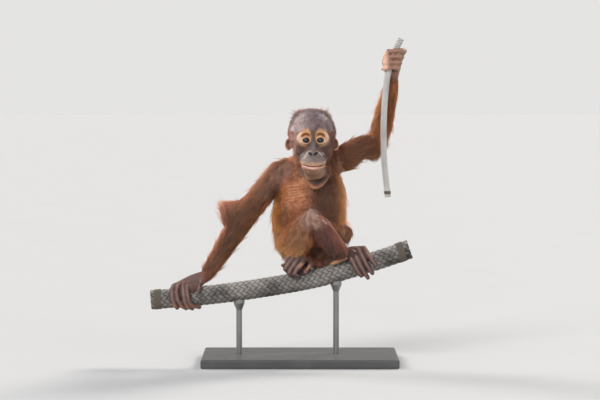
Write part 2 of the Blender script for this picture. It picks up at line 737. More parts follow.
def rope_point(x, turn, distance, shift=0.0):
    """A point round the perch rope: 0 degrees is on top of it and 90 degrees is on its front."""
    middle, heading = rope_middle(x)
    front, top = frame_round(heading)
    if top.z < 0:
        top = -top
    angle = math.radians(turn)
    point = middle + top * (math.cos(angle) * distance) + front * (math.sin(angle) * distance)
    return point + heading * shift


def line_point_at(height):
    """The point of the hand line at a height."""
    return along_route(LINE_ROUTE, share_where(LINE_ROUTE, lambda point: point.z > height))[0]


def held_at(point):
    """The middle of the rope or line that a finger or toe holds there."""
    return line_point_at(point.z) if point.z > HAND_LINE_FROM else rope_middle(point.x)[0]


def digit(bm, points, girths):
    """A finger or toe through its points. Its line, its ridge and its tip are kept for colours and nail."""
    stations = [(point, girth, girth) for point, girth in zip(points, girths)]
    add_limb(bm, stations, side=SIDEWAYS.lerp(UPWARD, 0.35), sides=12)
    digit_ends.append((Vector(points[-2]), Vector(points[-1]), girths[-1]))
    digit_lines.append([Vector(point) for point in points])
    ridge = []
    for point, girth in zip(digit_lines[-1], girths):
        ridge.append(point + (point - held_at(point)).normalized() * girth * 0.95)
    digit_ridges.append(ridge)


def add_right_hand(bm):
    """The right hand, back uppermost, closed over the perch."""
    wrist = Vector(ARM_RIGHT[-1][0])
    for finger in FINGERS:
        points = [rope_point(*joint) for joint in finger]
        digit(bm, points, FINGER_GIRTH)
        middle = wrist.lerp(points[0], 0.5) + Vector((0.0, 0.0, 0.001))
        bone = ((wrist, 0.0136, 0.0124), (middle, 0.0114, 0.0098), (points[0], 0.0070, 0.0068))
        add_limb(bm, bone, side=UPWARD)
    heel = rope_point(-0.224, -30, 0.0265)
    pad = ((wrist, 0.0120, 0.0110), (wrist.lerp(heel, 0.5), 0.0125, 0.0105), (heel, 0.0110, 0.0090))
    add_limb(bm, pad, side=UPWARD)
    add_ball(bm, (-0.2215, -0.0140, 0.1530), (0.0115, 0.0070, 0.0130))
    add_ball(bm, (-0.2130, -0.0110, 0.1620), (0.0100, 0.0070, 0.0080))
    add_ball(bm, (-0.2440, -0.0165, 0.1370), (0.0150, 0.0070, 0.0190))
    thumb = [rope_point(*joint) for joint in THUMB]
    digit(bm, [wrist] + thumb, (0.0090, 0.0074, 0.0062, 0.0052))


def add_left_hand(bm):
    """The left hand, raised, closed round the hand line."""
    wrist = Vector(ARM_LEFT[-1][0])
    for height in LEFT_FINGER_HEIGHTS:
        middle = line_point_at(height)
        points = [middle + Vector(step) for step in LEFT_GRIP]
        digit(bm, points, LEFT_GIRTH)
        root = middle + Vector((0.012, 0.0205, -0.003))
        halfway = wrist.lerp(root, 0.55) + Vector((0.0, 0.002, 0.0))
        add_limb(bm, ((wrist, 0.0115, 0.0105), (halfway, 0.0100, 0.0090), (root, 0.0078, 0.0078)))
    middle = line_point_at(LEFT_THUMB_HEIGHT)
    thumb = (
        wrist + Vector((-0.004, -0.002, 0.010)),
        middle + Vector((-0.010, 0.0130, -0.020)),
        middle + Vector((-0.0150, 0.0020, -0.004)),
        middle + Vector((-0.0120, -0.0060, 0.009)),
        middle + Vector((-0.0060, -0.0080, 0.018)),
    )
    digit(bm, thumb, (0.0085, 0.0070, 0.0060, 0.0056, 0.0048))
    add_ball(bm, (0.1800, 0.0270, 0.6215), (0.0070, 0.0090, 0.0095))


def add_right_foot(bm):
    """The right foot, planted on the perch with its toes over the front."""
    ankle = Vector(LEG_RIGHT[-1][0])
    heel, instep = (Vector(point) for point in RIGHT_HEEL)
    for x, end_turn, end_distance in RIGHT_TOES:
        points = [
            rope_point(x, (end_turn + 8) * along - 8, distance or end_distance, 0.0034 * index)
            for index, (along, distance) in enumerate(TOE_ARCH)
        ]
        digit(bm, points, TOE_GIRTH)
        middle = instep.lerp(points[0], 0.5) + Vector((0.0, -0.002, 0.003))
        bone = ((instep, 0.0115, 0.0110), (middle, 0.0110, 0.0095), (points[0], 0.0080, 0.0080))
        add_limb(bm, bone, side=UPWARD)
    add_limb(bm, ((heel, 0.0090, 0.0085), (instep, 0.0120, 0.0110)), side=UPWARD)
    add_limb(bm, ((ankle, 0.0130, 0.0130), (instep, 0.0120, 0.0120)), side=UPWARD)
    big_toe = (
        instep,
        instep + Vector((0.002, -0.013, -0.004)),
        heel + Vector((0.006, -0.0165, -0.0045)),
        heel + Vector((-0.004, -0.0150, -0.0080)),
    )
    digit(bm, big_toe, (0.0080, 0.0066, 0.0054, 0.0048))
    add_ball(bm, (0.1040, -0.0190, 0.2240), (0.0140, 0.0110, 0.0110))
    add_ball(bm, (0.1330, -0.0150, 0.2180), (0.0120, 0.0110, 0.0120))


def add_left_foot(bm):
    """The left foot, clenched on the perch below the right thigh."""
    ankle = Vector(LEG_LEFT[-1][0])
    heel = Vector((0.040, -0.002, 0.2005))
    for toe in LEFT_TOES:
        digit(bm, [Vector(point) for point in toe], LEFT_TOE_GIRTH)
        root = Vector(toe[0])
        middle = ankle.lerp(root, 0.5) + Vector((0.0, 0.0, -0.001))
        bone = ((ankle, 0.0120, 0.0115), (middle, 0.0110, 0.0100), (root, 0.0070, 0.0066))
        add_limb(bm, bone, side=UPWARD)
    add_limb(bm, ((ankle, 0.0125, 0.0120), (heel, 0.0095, 0.0090)), side=UPWARD)
    add_ball(bm, (-0.0120, -0.0115, 0.2000), (0.0185, 0.0115, 0.0170))
    add_ball(bm, (0.0080, -0.0120, 0.1920), (0.0140, 0.0110, 0.0120))
    add_ball(bm, (0.0570, 0.0020, 0.2080), (0.0120, 0.0100, 0.0110))
    big_toe = (
        ankle + Vector((0.002, -0.012, -0.002)),
        Vector((0.020, -0.025, 0.1990)),
        Vector((0.011, -0.030, 0.1885)),
    )
    digit(bm, big_toe, (0.0080, 0.0060, 0.0050))


hands_bm = bmesh.new()
for add_one in (add_right_hand, add_left_hand, add_right_foot, add_left_foot):
    add_one(hands_bm)
hands_mesh = run_together(hands_bm, HAND_VOXEL, 3)

# The head, cast with the skin: skull, brow, muzzle and jaw, thin lids, a flat nose with slanted
# nostrils, and wide lips closed in one line. Its own frame has the middle of the skull as origin.
HEAD_PLACE = (0.0245, -0.018, 0.4695)
HEAD_YAW = math.radians(2.5)
HEAD_FORMS = (
    ((0.0, 0.004, 0.000), (0.0475, 0.0580, 0.0505)),
    ((0.0, -0.014, -0.004), (0.0420, 0.0400, 0.0400)),
    ((0.0, -0.016, -0.026), (0.0395, 0.0350, 0.0350)),
    ((0.0, -0.014, -0.047), (0.0355, 0.0400, 0.0300)),
    ((0.0, -0.044, -0.053), (0.0285, 0.0360, 0.0250)),
    ((0.0, -0.050, -0.058), (0.0240, 0.0340, 0.0215)),
    ((0.0, -0.038, -0.068), (0.0235, 0.0340, 0.0225)),
)
CHEEK = ((0.0220, -0.0230, -0.0380), (0.0175, 0.0190, 0.0230))
BRIDGE = (
    ((0.0, -0.0460, -0.0020), 0.0070, 0.0060),
    ((0.0, -0.0530, -0.0160), 0.0060, 0.0060),
    ((0.0, -0.0640, -0.0290), 0.0065, 0.0060),
    ((0.0, -0.0730, -0.0380), 0.0080, 0.0060),
)
NOSE_WING = ((0.0072, -0.0740, -0.0410), (0.0062, 0.0060, 0.0055))
EYE_PLACE = (0.0146, -0.0440, -0.0117)
EYE_RADIUS = 0.0100
EYE_LIFT = 0.0012
LID_RADIUS = 0.0124
EYE_OPENING = (0.0074, 0.0056)
EYE_CUT_AHEAD = 0.0135
EYE_CUT_DEPTH = 0.0105
BROW = (15, 170, (0.0148, 0.0142), 0.0038, 0.0040)
EYE_POUCH = (-165, -20, (0.0125, 0.0120), 0.0040, 0.0030)
NOSTRIL_PLACE = (0.0054, -0.0800, -0.0386)
NOSTRIL_CUT = (0.0047, 0.0068, 0.0023)
NOSTRIL_SLANT = math.radians(38)
NOSE_ASIDE = -0.0016
MOUTH_CORNER = (0.0238, -0.0565, -0.0650)
MOUTH_MIDDLE = (0.0, -0.0800, -0.0672)
LIPS = ((0.0040, 0.0040, -0.0012), (-0.0040, 0.0037, -0.0014))
MOUTH_GROOVE = (0.0010, 0.0042, 0.0036)
EAR_PLACE = (0.0470, 0.0050, -0.0205)
EAR_SIZE = (0.0090, 0.0062, 0.0138)
EAR_TURN = 32
EAR_LEAN = -12
HEAD_REACH = 0.13
# Arcs of folds round each eye: from, to, radii, forward, steps
LID_CREASE = (36, 160, (0.0104, 0.0124), 0.0, 12)
BROW_ROLL = (30, 165, (0.0150, 0.0178), 0.0, 12)
LID_UNDER = (-155, -25, (0.0108, 0.0084), 0.0, 10)
POUCH_EDGE = (-160, -25, (0.0150, 0.0128), 0.0, 10)


def head_frame():
    """From the head's own frame to the model's."""
    return Matrix.Translation(HEAD_PLACE) @ Matrix.Rotation(HEAD_YAW, 4, "Z")


def mirrored(place, side):
    """A place of the left side of the head, or its twin on the right for a side of -1."""
    return Vector((place[0] * side, place[1], place[2]))


def mouth_line(share, outward=0.0, rise=0.0):
    """A point of the closed mouth: share runs from -1 at one corner to 1 at the other."""
    corner = Vector(MOUTH_CORNER)
    middle = Vector(MOUTH_MIDDLE)
    bow = 1.0 - abs(share) ** 2.3
    push = Vector((0.55 * share, -1.0, 0.0)).normalized() * outward
    return Vector((
        corner.x * share,
        corner.y + (middle.y - corner.y) * bow,
        corner.z + (middle.z - corner.z) * bow + rise * (0.35 + 0.65 * bow),
    )) + push


def eye_arc(side, turn_from, turn_to, radii, forward, steps):
    """Points of an arc round an eye. It turns in degrees from the nose over the brow."""
    points = []
    for step in range(steps + 1):
        angle = math.radians(turn_from + (turn_to - turn_from) * step / steps)
        across = -math.cos(angle) * radii[0]
        back = max(0.0, across) * 0.35
        high = EYE_PLACE[2] + math.sin(angle) * radii[1]
        points.append(mirrored((EYE_PLACE[0] + across, EYE_PLACE[1] - forward + back, high), side))
    return points


def cut_away(mesh, bm):
    """A mesh less a form."""
    whole = placed("whole", mesh)
    cutter = object_of("cutter", bm)
    step = whole.modifiers.new("Cut", "BOOLEAN")
    step.operation = "DIFFERENCE"
    step.solver = "MANIFOLD"
    step.object = cutter
    bake(whole)
    mesh = whole.data
    bpy.data.objects.remove(whole)
    bpy.data.objects.remove(cutter)
    return mesh


head_bm = bmesh.new()
for form in HEAD_FORMS:
    add_ball(head_bm, *form, segments=36, rings=20)
add_limb(head_bm, BRIDGE, sides=12)
for side in (-1, 1):
    add_ball(head_bm, mirrored(CHEEK[0], side), CHEEK[1])
head_base = run_together(head_bm, 0.0022, 11)
head_bm = bmesh.new()
head_bm.from_mesh(head_base)
for side in (-1, 1):
    add_ball(head_bm, mirrored(EYE_PLACE, side), (LID_RADIUS,) * 3, segments=28, rings=18)
    for turn_from, turn_to, radii, forward, girth in (BROW, EYE_POUCH):
        arc = eye_arc(side, turn_from, turn_to, radii, forward, steps=12)
        add_limb(head_bm, [(point, girth, girth) for point in arc], side=UPWARD, sides=10)
    add_ball(head_bm, mirrored(NOSE_WING[0], side), NOSE_WING[1])
for rise, girth, outward in LIPS:
    lip = [mouth_line(-1 + step / 10, outward, rise) for step in range(21)]
    thin = [girth * (1.0 - 0.45 * abs(-1 + step / 10) ** 3) for step in range(21)]
    add_limb(head_bm, [(point, half, half) for point, half in zip(lip, thin)], side=UPWARD, sides=10)
head_mesh = run_together(head_bm, HEAD_VOXEL, 5)
openings = []
for side in (-1, 1):
    opening = bmesh.new()
    before_eye = mirrored(EYE_PLACE, side) + Vector((0.0, -EYE_CUT_AHEAD, 0.0))
    add_ball(opening, before_eye, (EYE_OPENING[0], EYE_CUT_DEPTH, EYE_OPENING[1]), segments=28, rings=16)
    openings.append(opening)
    nostril = bmesh.new()
    turn = Matrix.Rotation(-NOSTRIL_SLANT * side, 3, "Y")
    middle = mirrored(NOSTRIL_PLACE, side) + Vector((NOSE_ASIDE, 0.0, 0.0))
    add_ball(nostril, middle, NOSTRIL_CUT, turn, segments=16, rings=10)
    openings.append(nostril)
groove = bmesh.new()
high, deep, outward = MOUTH_GROOVE
groove_line = [mouth_line(-1.03 + 2.06 * step / 20, outward) for step in range(21)]
add_limb(groove, [(point, high, deep) for point in groove_line], side=UPWARD, sides=8, cap_rings=1)
openings.append(groove)
for opening in openings:
    head_mesh = cut_away(head_mesh, opening)


def add_ear(bm, side):
    """A small cupped ear: a rolled rim round a hollow that faces forwards and out."""
    made = bmesh.ops.create_uvsphere(bm, u_segments=36, v_segments=24, radius=1.0)["verts"]
    for vertex in made:
        flat = math.hypot(vertex.co.x, vertex.co.z)
        if vertex.co.y < 0.05:
            hollow = max(0.0, 1.0 - (flat / 0.80) ** 2)
            fold = math.exp(-(((flat - 0.52) / 0.12) ** 2)) * (0.35 if vertex.co.z > -0.2 else 0.1)
            vertex.co.y += 1.35 * hollow - fold
    across, deep, high = EAR_SIZE
    turn = Matrix.Rotation(math.radians(EAR_TURN * side), 4, "Z")
    turn = turn @ Matrix.Rotation(math.radians(EAR_LEAN * side), 4, "Y")
    x, y, z = EAR_PLACE
    frame_of_ear = Matrix.Translation((x * side, y, z)) @ turn @ Matrix.Diagonal((across, deep, high, 1.0))
    bmesh.ops.transform(bm, matrix=frame_of_ear, verts=made)


# The finished skin: all of it run together once more, thinned on the furred parts, and worked over
# with the folds of the face, the chest and the throat.
whole_bm = bmesh.new()
whole_bm.from_mesh(head_mesh)
for side in (-1, 1):
    add_ear(whole_bm, side)
bmesh.ops.transform(whole_bm, matrix=head_frame(), verts=whole_bm.verts)
for mesh in (trunk_mesh, throat_mesh, hands_mesh):
    whole_bm.from_mesh(mesh)
skin_mesh = run_together(whole_bm, SKIN_VOXEL, 2)
skin = placed("skin", skin_mesh)


def places_of(mesh, kind="co"):
    """The places of a mesh's vertices as rows, or their normals where the kind is normal."""
    flat = np.empty(len(mesh.vertices) * 3, np.float32)
    mesh.vertices.foreach_get(kind, flat)
    return flat.reshape(-1, 3).astype(float)


def move_to(mesh, places):
    """Moves a mesh's vertices to the given places."""
    mesh.vertices.foreach_set("co", places.astype(np.float32).ravel())
    mesh.update()


def to_head(places):
    """Places in the head's own frame."""
    turn = np.array(head_frame().inverted())
    return places @ turn[:3, :3].T + turn[:3, 3]


def fade(value, start, end):
    """A smooth step from 0 at start to 1 at end."""
    share = np.clip((value - start) / (end - start), 0.0, 1.0)
    return share * share * (3.0 - 2.0 * share)


def detail_mask(places):
    """1 on the face, ears, hands and feet, where the skin keeps its fineness, and 0 on the furred parts."""
    local = to_head(places)
    ahead = -local[:, 1]
    face = fade(ahead, -0.012, 0.008) * fade(local[:, 2], -0.105, -0.085) * fade(ahead, -0.2, 0.0)
    keep = face * (np.linalg.norm(local, axis=1) < HEAD_REACH)
    x, y, z = places.T
    folded = fade(z, 0.296, 0.306) * fade(-z, -0.376, -0.368) * fade(-np.abs(x + 0.008), -0.048, -0.040)
    keep = np.maximum(keep, 0.8 * (folded * fade(-y, 0.0, 0.02)))
    for side in (-1, 1):
        ear = np.array(EAR_PLACE) * (side, 1, 1)
        keep = np.maximum(keep, fade(-np.linalg.norm(local - ear, axis=1), -0.022, -0.017))
    return np.clip(keep, 0.0, 1.0)


places = places_of(skin.data)
group = skin.vertex_groups.new(name="furred")
masked = 1.0 - detail_mask(places)
for weight in np.unique(np.round(masked, 1)):
    members = np.nonzero(np.round(masked, 1) == weight)[0].tolist()
    group.add(members, float(weight), "REPLACE")
whole_count = sum(len(face.vertices) - 2 for face in skin.data.polygons)
thin = skin.modifiers.new("Thin", "DECIMATE")
thin.ratio = min(1.0, SKIN_TRIANGLES / whole_count)
thin.vertex_group = "furred"
bake(skin)
skin.vertex_groups.clear()


def in_face_box(local, half, low):
    """Which places lie ahead in the head's frame, within a half width, from a low edge up to the brow."""
    x, y, z = local.T
    return (y < -0.030) & (np.abs(x) < half) & (z > low) & (z < 0.012)


def refine_face(mesh):
    """Cuts the faces between brow and chin into four, so that they can hold folds under a millimetre wide."""
    bm = bmesh.new()
    bm.from_mesh(mesh)
    local = to_head(places_of(mesh))
    near = in_face_box(local, 0.032, -0.084) & (local[:, 1] > -0.12)
    bm.verts.ensure_lookup_table()
    edges = [edge for edge in bm.edges if near[edge.verts[0].index] and near[edge.verts[1].index]]
    bmesh.ops.subdivide_edges(bm, edges=edges, cuts=1, use_grid_fill=True)
    bmesh.ops.triangulate(bm, faces=[face for face in bm.faces if len(face.verts) > 3])
    bm.verts.ensure_lookup_table()
    local = np.array([tuple(head_frame().inverted() @ vertex.co) for vertex in bm.verts])
    softened = [vertex for vertex, within in zip(bm.verts, in_face_box(local, 0.034, -0.086)) if within]
    bmesh.ops.smooth_vert(bm, verts=softened, factor=0.4, use_axis_x=True, use_axis_y=True, use_axis_z=True)
    bm.to_mesh(mesh)
    bm.free()


def seen_line(places, line):
    """Like near_line, but as seen from the front."""
    return near_line(places * (1.0, 0.0, 1.0), [(point[0], 0.0, point[2]) for point in line])


def line_fold(places, line, depth, width):
    """A fold along a line of points: its depth at each place, fading out at the line's two ends."""
    distance, share = seen_line(places, line)
    ends = fade(share, 0.0, 0.18) * fade(1.0 - share, 0.0, 0.18)
    return depth * np.exp(-((distance / width) ** 2)) * ends


def drift(places, size, seed=0):
    """A soft, uneven wave over places, from -1 to 1, that changes about once in each size."""
    draw = np.random.default_rng(seed)
    total = np.zeros(len(places))
    for _ in range(5):
        way = draw.normal(size=3)
        way /= np.linalg.norm(way)
        total += np.sin(places @ way * (math.tau / size) * draw.uniform(0.6, 1.5) + draw.uniform(0, math.tau))
    return total / 3.2


def eye_reach(local, side, wide, tall, outward=0.0, upward=0.0):
    """How far out each place is from the middle of an eye, where 1 is an oval of the given half sizes."""
    across = local[:, 0] * side - EYE_PLACE[0] - outward
    return np.hypot(across / wide, (local[:, 2] - EYE_PLACE[2] - upward) / tall)


def nostril_reach(local, side, wide, tall):
    """How far out each place is from a nostril, where 1 is its slanted oval of the given half sizes."""
    across = (local[:, 0] - NOSE_ASIDE) * side - NOSTRIL_PLACE[0]
    up = local[:, 2] - NOSTRIL_PLACE[2]
    along = across * math.cos(NOSTRIL_SLANT) + up * math.sin(NOSTRIL_SLANT)
    over = up * math.cos(NOSTRIL_SLANT) - across * math.sin(NOSTRIL_SLANT)
    return np.hypot(along / wide, over / tall)


# The folds of loose skin that run from the right armpit across the chest, as seen from the front
CHEST_LINES = (
    ((-0.0295, 0.3600), (-0.0120, 0.3618), (0.0100, 0.3625)),
    ((-0.0290, 0.3540), (-0.0100, 0.3560), (0.0140, 0.3580)),
    ((-0.0270, 0.3470), (-0.0080, 0.3500), (0.0180, 0.3535)),
    ((-0.0285, 0.3425), (-0.0120, 0.3445), (0.0060, 0.3490)),
    ((-0.0310, 0.3350), (-0.0150, 0.3375), (0.0175, 0.3445)),
    ((-0.0300, 0.3290), (-0.0180, 0.3320), (-0.0020, 0.3360)),
    ((-0.0420, 0.3330), (-0.0350, 0.3400), (-0.0300, 0.3450)),
)


def chest_lines():
    """The chest folds as lines of points in space."""
    return [[(x, 0.0, z) for x, z in line] for line in CHEST_LINES]


def raised_line(line):
    """The lit ridge just above a chest fold."""
    return [(x, y, z + 0.0022) for x, y, z in line]


def toe_gaps():
    """The furrows between the toes of the clenched left foot."""
    return [
        [(Vector(near) + Vector(far)) / 2 for near, far in zip(toe[:3], following[:3])]
        for toe, following in zip(LEFT_TOES, LEFT_TOES[1:])
    ]


# The folds round each eye, standing out or in where negative: arc, height, width
EYE_FOLDS = (
    (LID_CREASE, -0.0016, 0.0013),
    (BROW_ROLL, 0.0010, 0.0024),
    (LID_UNDER, -0.0006, 0.0009),
    (POUCH_EDGE, -0.0008, 0.0013),
)
BESIDE_NOSE = (
    (0.0085, -0.0700, -0.0300),
    (0.0165, -0.0640, -0.0375),
    (0.0245, -0.0560, -0.0490),
    (0.0285, -0.0480, -0.0620),
)


def fold_depths(places):
    """How far each place of the skin stands out, or in where negative, for folds and creases."""
    local = to_head(places)
    x, y, z = local.T
    front = fade(-y, 0.020, 0.032) * (np.linalg.norm(local, axis=1) < HEAD_REACH)
    depth = np.zeros(len(places))
    for side in (-1, 1):
        for arc, rise, width in EYE_FOLDS:
            depth += line_fold(local, eye_arc(side, *arc), rise, width) * front
        rim = eye_reach(local, side, EYE_OPENING[0] + 0.0006, EYE_OPENING[1] + 0.0006)
        depth += 0.00035 * np.exp(-(((rim - 1.08) / 0.10) ** 2)) * front
        wing = nostril_reach(local, side, 0.0064, 0.0046)
        flare = 0.0005 * np.exp(-(((wing - 1.0) / 0.22) ** 2))
        depth += flare * fade(np.abs(x), 0.002, 0.005) * front
        beside_nose = [mirrored(point, side) for point in BESIDE_NOSE]
        depth -= line_fold(local, beside_nose, 0.0012, 0.0022) * front
    mouth = [mouth_line(-1.0 + step / 12) for step in range(25)]
    depth -= line_fold(local, mouth, 0.0016, 0.0011) * front
    depth -= line_fold(local, ((0.0, 0.0, -0.0445), (0.0, 0.0, -0.0560)), 0.0005, 0.0016) * front
    lip_skin = fade(z, -0.0660, -0.0620) * fade(-z, 0.0450, 0.0520) * front
    chin_skin = fade(-z, 0.0710, 0.0750) * front
    depth += 0.00016 * np.sin(x * math.tau / 0.0026 + 2 * drift(local, 0.010, 3)) * lip_skin
    depth += 0.00014 * drift(local, 0.0030, 4) * chin_skin
    brow_lines = fade(z, 0.004, 0.010) * fade(-z, -0.030, -0.022) * front
    brow_waves = np.sin(z * math.tau / 0.0062 + drift(local, 0.03, 5) * 2.0)
    depth -= 0.00022 * fade(brow_waves, 0.4, 1.0) * brow_lines
    ahead = fade(-places[:, 1], 0.006, 0.020)
    for line in chest_lines():
        depth -= line_fold(places, line, 0.0013, 0.0010) * ahead
        depth += line_fold(places, raised_line(line), 0.0007, 0.0014) * ahead
    for line in toe_gaps():
        distance, _ = near_line(places, line)
        depth -= 0.0024 * np.exp(-((distance / 0.0018) ** 2))
    throat, _ = near_line(places, THROAT_LINE)
    under_chin = fade(-throat, -0.017, -0.010)
    hanging = places[:, 2] - 0.3 * np.abs(places[:, 0] - 0.028)
    depth -= 0.0004 * fade(np.sin(hanging * math.tau / 0.0046), 0.3, 1.0) * under_chin
    return depth


refine_face(skin.data)
places = places_of(skin.data)
places += places_of(skin.data, "normal") * (fold_depths(places) - SKIN_SUNK)[:, None]
move_to(skin.data, places)

# The colours of the skin, which the coat shares. Each is a mask worked out from where a point is
# on the body: grey-purple crown, tan eye rings, grey muzzle, pink lips, brown hands and knees.
# Each hand and foot as a short limb of places with half widths, which the masks measure from
HANDS = {
    "hand_right": (
        ((-0.2060, 0.000, 0.1720), 0.013),
        ((-0.2400, -0.010, 0.1600), 0.018),
        ((-0.2440, -0.020, 0.1300), 0.022),
    ),
    "hand_left": (
        ((0.1930, 0.050, 0.5980), 0.013),
        ((0.1960, 0.040, 0.6150), 0.017),
        ((0.1940, 0.034, 0.6350), 0.018),
    ),
    "foot_right": (
        ((0.0660, -0.019, 0.2055), 0.006),
        ((0.0940, -0.014, 0.2210), 0.012),
        ((0.1150, -0.016, 0.2300), 0.016),
        ((0.1350, -0.030, 0.1900), 0.022),
    ),
    "foot_left": (
        ((0.0160, 0.002, 0.2080), 0.013),
        ((0.0000, -0.014, 0.2070), 0.018),
        ((-0.0180, -0.024, 0.1950), 0.018),
    ),
}
LIMBS = (ARM_RIGHT, ARM_LEFT, LEG_RIGHT, LEG_LEFT)
JAW_FROM = -0.045
JAW_DRAWN_UP = 0.13
SMILE = 0.0022
SMILE_LEVEL = -0.066
JAW_MIDDLE = (0.0, -0.046, -0.062)
JAW_HALF = 0.050
# From the middle line of the throat's roll to its lit edge
ROLL_LIT = Vector((0.0, -0.003, -0.0050))


def lay(colours, mask, *shade):
    """Lays one more shade, given in the steps that tone takes, over rows of colours by a mask."""
    colours += (np.array(tone(*shade)) - colours) * np.clip(mask, 0.0, 1.0)[:, None]


def limb_reach(places, stations):
    """How far outside a limb each place is, where along its stations, and the way the limb runs there."""
    centres = np.array([station[0] for station in stations], float)
    girths = np.array([station[1] for station in stations], float)
    best = np.full(len(places), np.inf)
    share = np.zeros(len(places))
    way = np.zeros((len(places), 3))
    for index in range(len(centres) - 1):
        start, step = centres[index], centres[index + 1] - centres[index]
        along = np.clip((places - start) @ step / (step @ step), 0.0, 1.0)
        girth = girths[index] + (girths[index + 1] - girths[index]) * along
        distance = np.linalg.norm(places - start - along[:, None] * step, axis=1) - girth
        nearer = distance < best
        best = np.where(nearer, distance, best)
        share = np.where(nearer, (index + along) / (len(centres) - 1), share)
        way[nearer] = step / np.linalg.norm(step)
    return best, share, way


def bare_hands(places):
    """1 on hands and feet and 0 elsewhere, with a soft edge at wrist and ankle."""
    on_hand = np.min([limb_reach(places, stations)[0] for stations in HANDS.values()], axis=0)
    on_limb = np.min([limb_reach(places, stations)[0] for stations in (*LIMBS, TRUNK)], axis=0)
    return fade(on_limb - on_hand, -0.009, 0.006)


def bend_of(mesh, rounds=2):
    """How sharply the skin bends at each vertex, in turns per metre: above 0 on ridges, below in furrows."""
    ends = np.empty(len(mesh.edges) * 2, np.int32)
    mesh.edges.foreach_get("vertices", ends)
    first, second = ends.reshape(-1, 2).T
    count = len(mesh.vertices)
    points = places_of(mesh)
    facing = places_of(mesh, "normal")
    near = np.bincount(first, minlength=count) + np.bincount(second, minlength=count)

    def around(values):
        total = np.bincount(first, values[second], count) + np.bincount(second, values[first], count)
        return total / np.maximum(near, 1)

    lengths = np.linalg.norm(points[first] - points[second], axis=1)
    reach = (np.bincount(first, lengths, count) + np.bincount(second, lengths, count)) / np.maximum(near, 1)
    middle = np.column_stack([around(points[:, axis]) for axis in range(3)])
    bend = ((points - middle) * facing).sum(axis=1) * 2.0 / np.maximum(reach, 1e-5) ** 2
    for _ in range(rounds):
        bend = bend * 0.4 + around(bend) * 0.6
    return bend


def in_head(local):
    """1 on the head and ears and 0 elsewhere."""
    skull = np.linalg.norm((local - (0.0, 0.004, -0.004)) / (0.062, 0.066, 0.066), axis=1)
    jaw = np.linalg.norm((local - (0.0, -0.036, -0.056)) / (0.040, 0.056, 0.042), axis=1)
    return fade(-np.minimum(skull, jaw), -1.08, -0.98)


def from_shoulder(places):
    """How far each place is from the right shoulder."""
    return near_line(places, (SHOULDER_RIGHT[0], ARM_RIGHT[0][0]))[0]


def from_knee(places):
    """How far each place is from the front of the right knee."""
    knee = LEG_RIGHT[3][0]
    return near_line(places, (knee, Vector(knee) + Vector((0.0, -0.012, 0.006))))[0]


def from_armpit(places):
    """How far each place is from the right armpit, as seen from the front."""
    return seen_line(places, ((-0.0450, 0.0, 0.3620), (-0.0425, 0.0, 0.3480)))[0]


def throat_oval(places):
    """How far out each place is from the middle of the sagging throat, seen from the front. 1 is its edge."""
    return np.hypot((places[:, 0] - 0.0305) / 0.0215, (places[:, 2] - 0.3820) / 0.0200)


def chest_middle(places):
    """1 along the dark middle of the chest and 0 beside it."""
    return fade(-np.abs(places[:, 0] - 0.048), -0.046, -0.012)


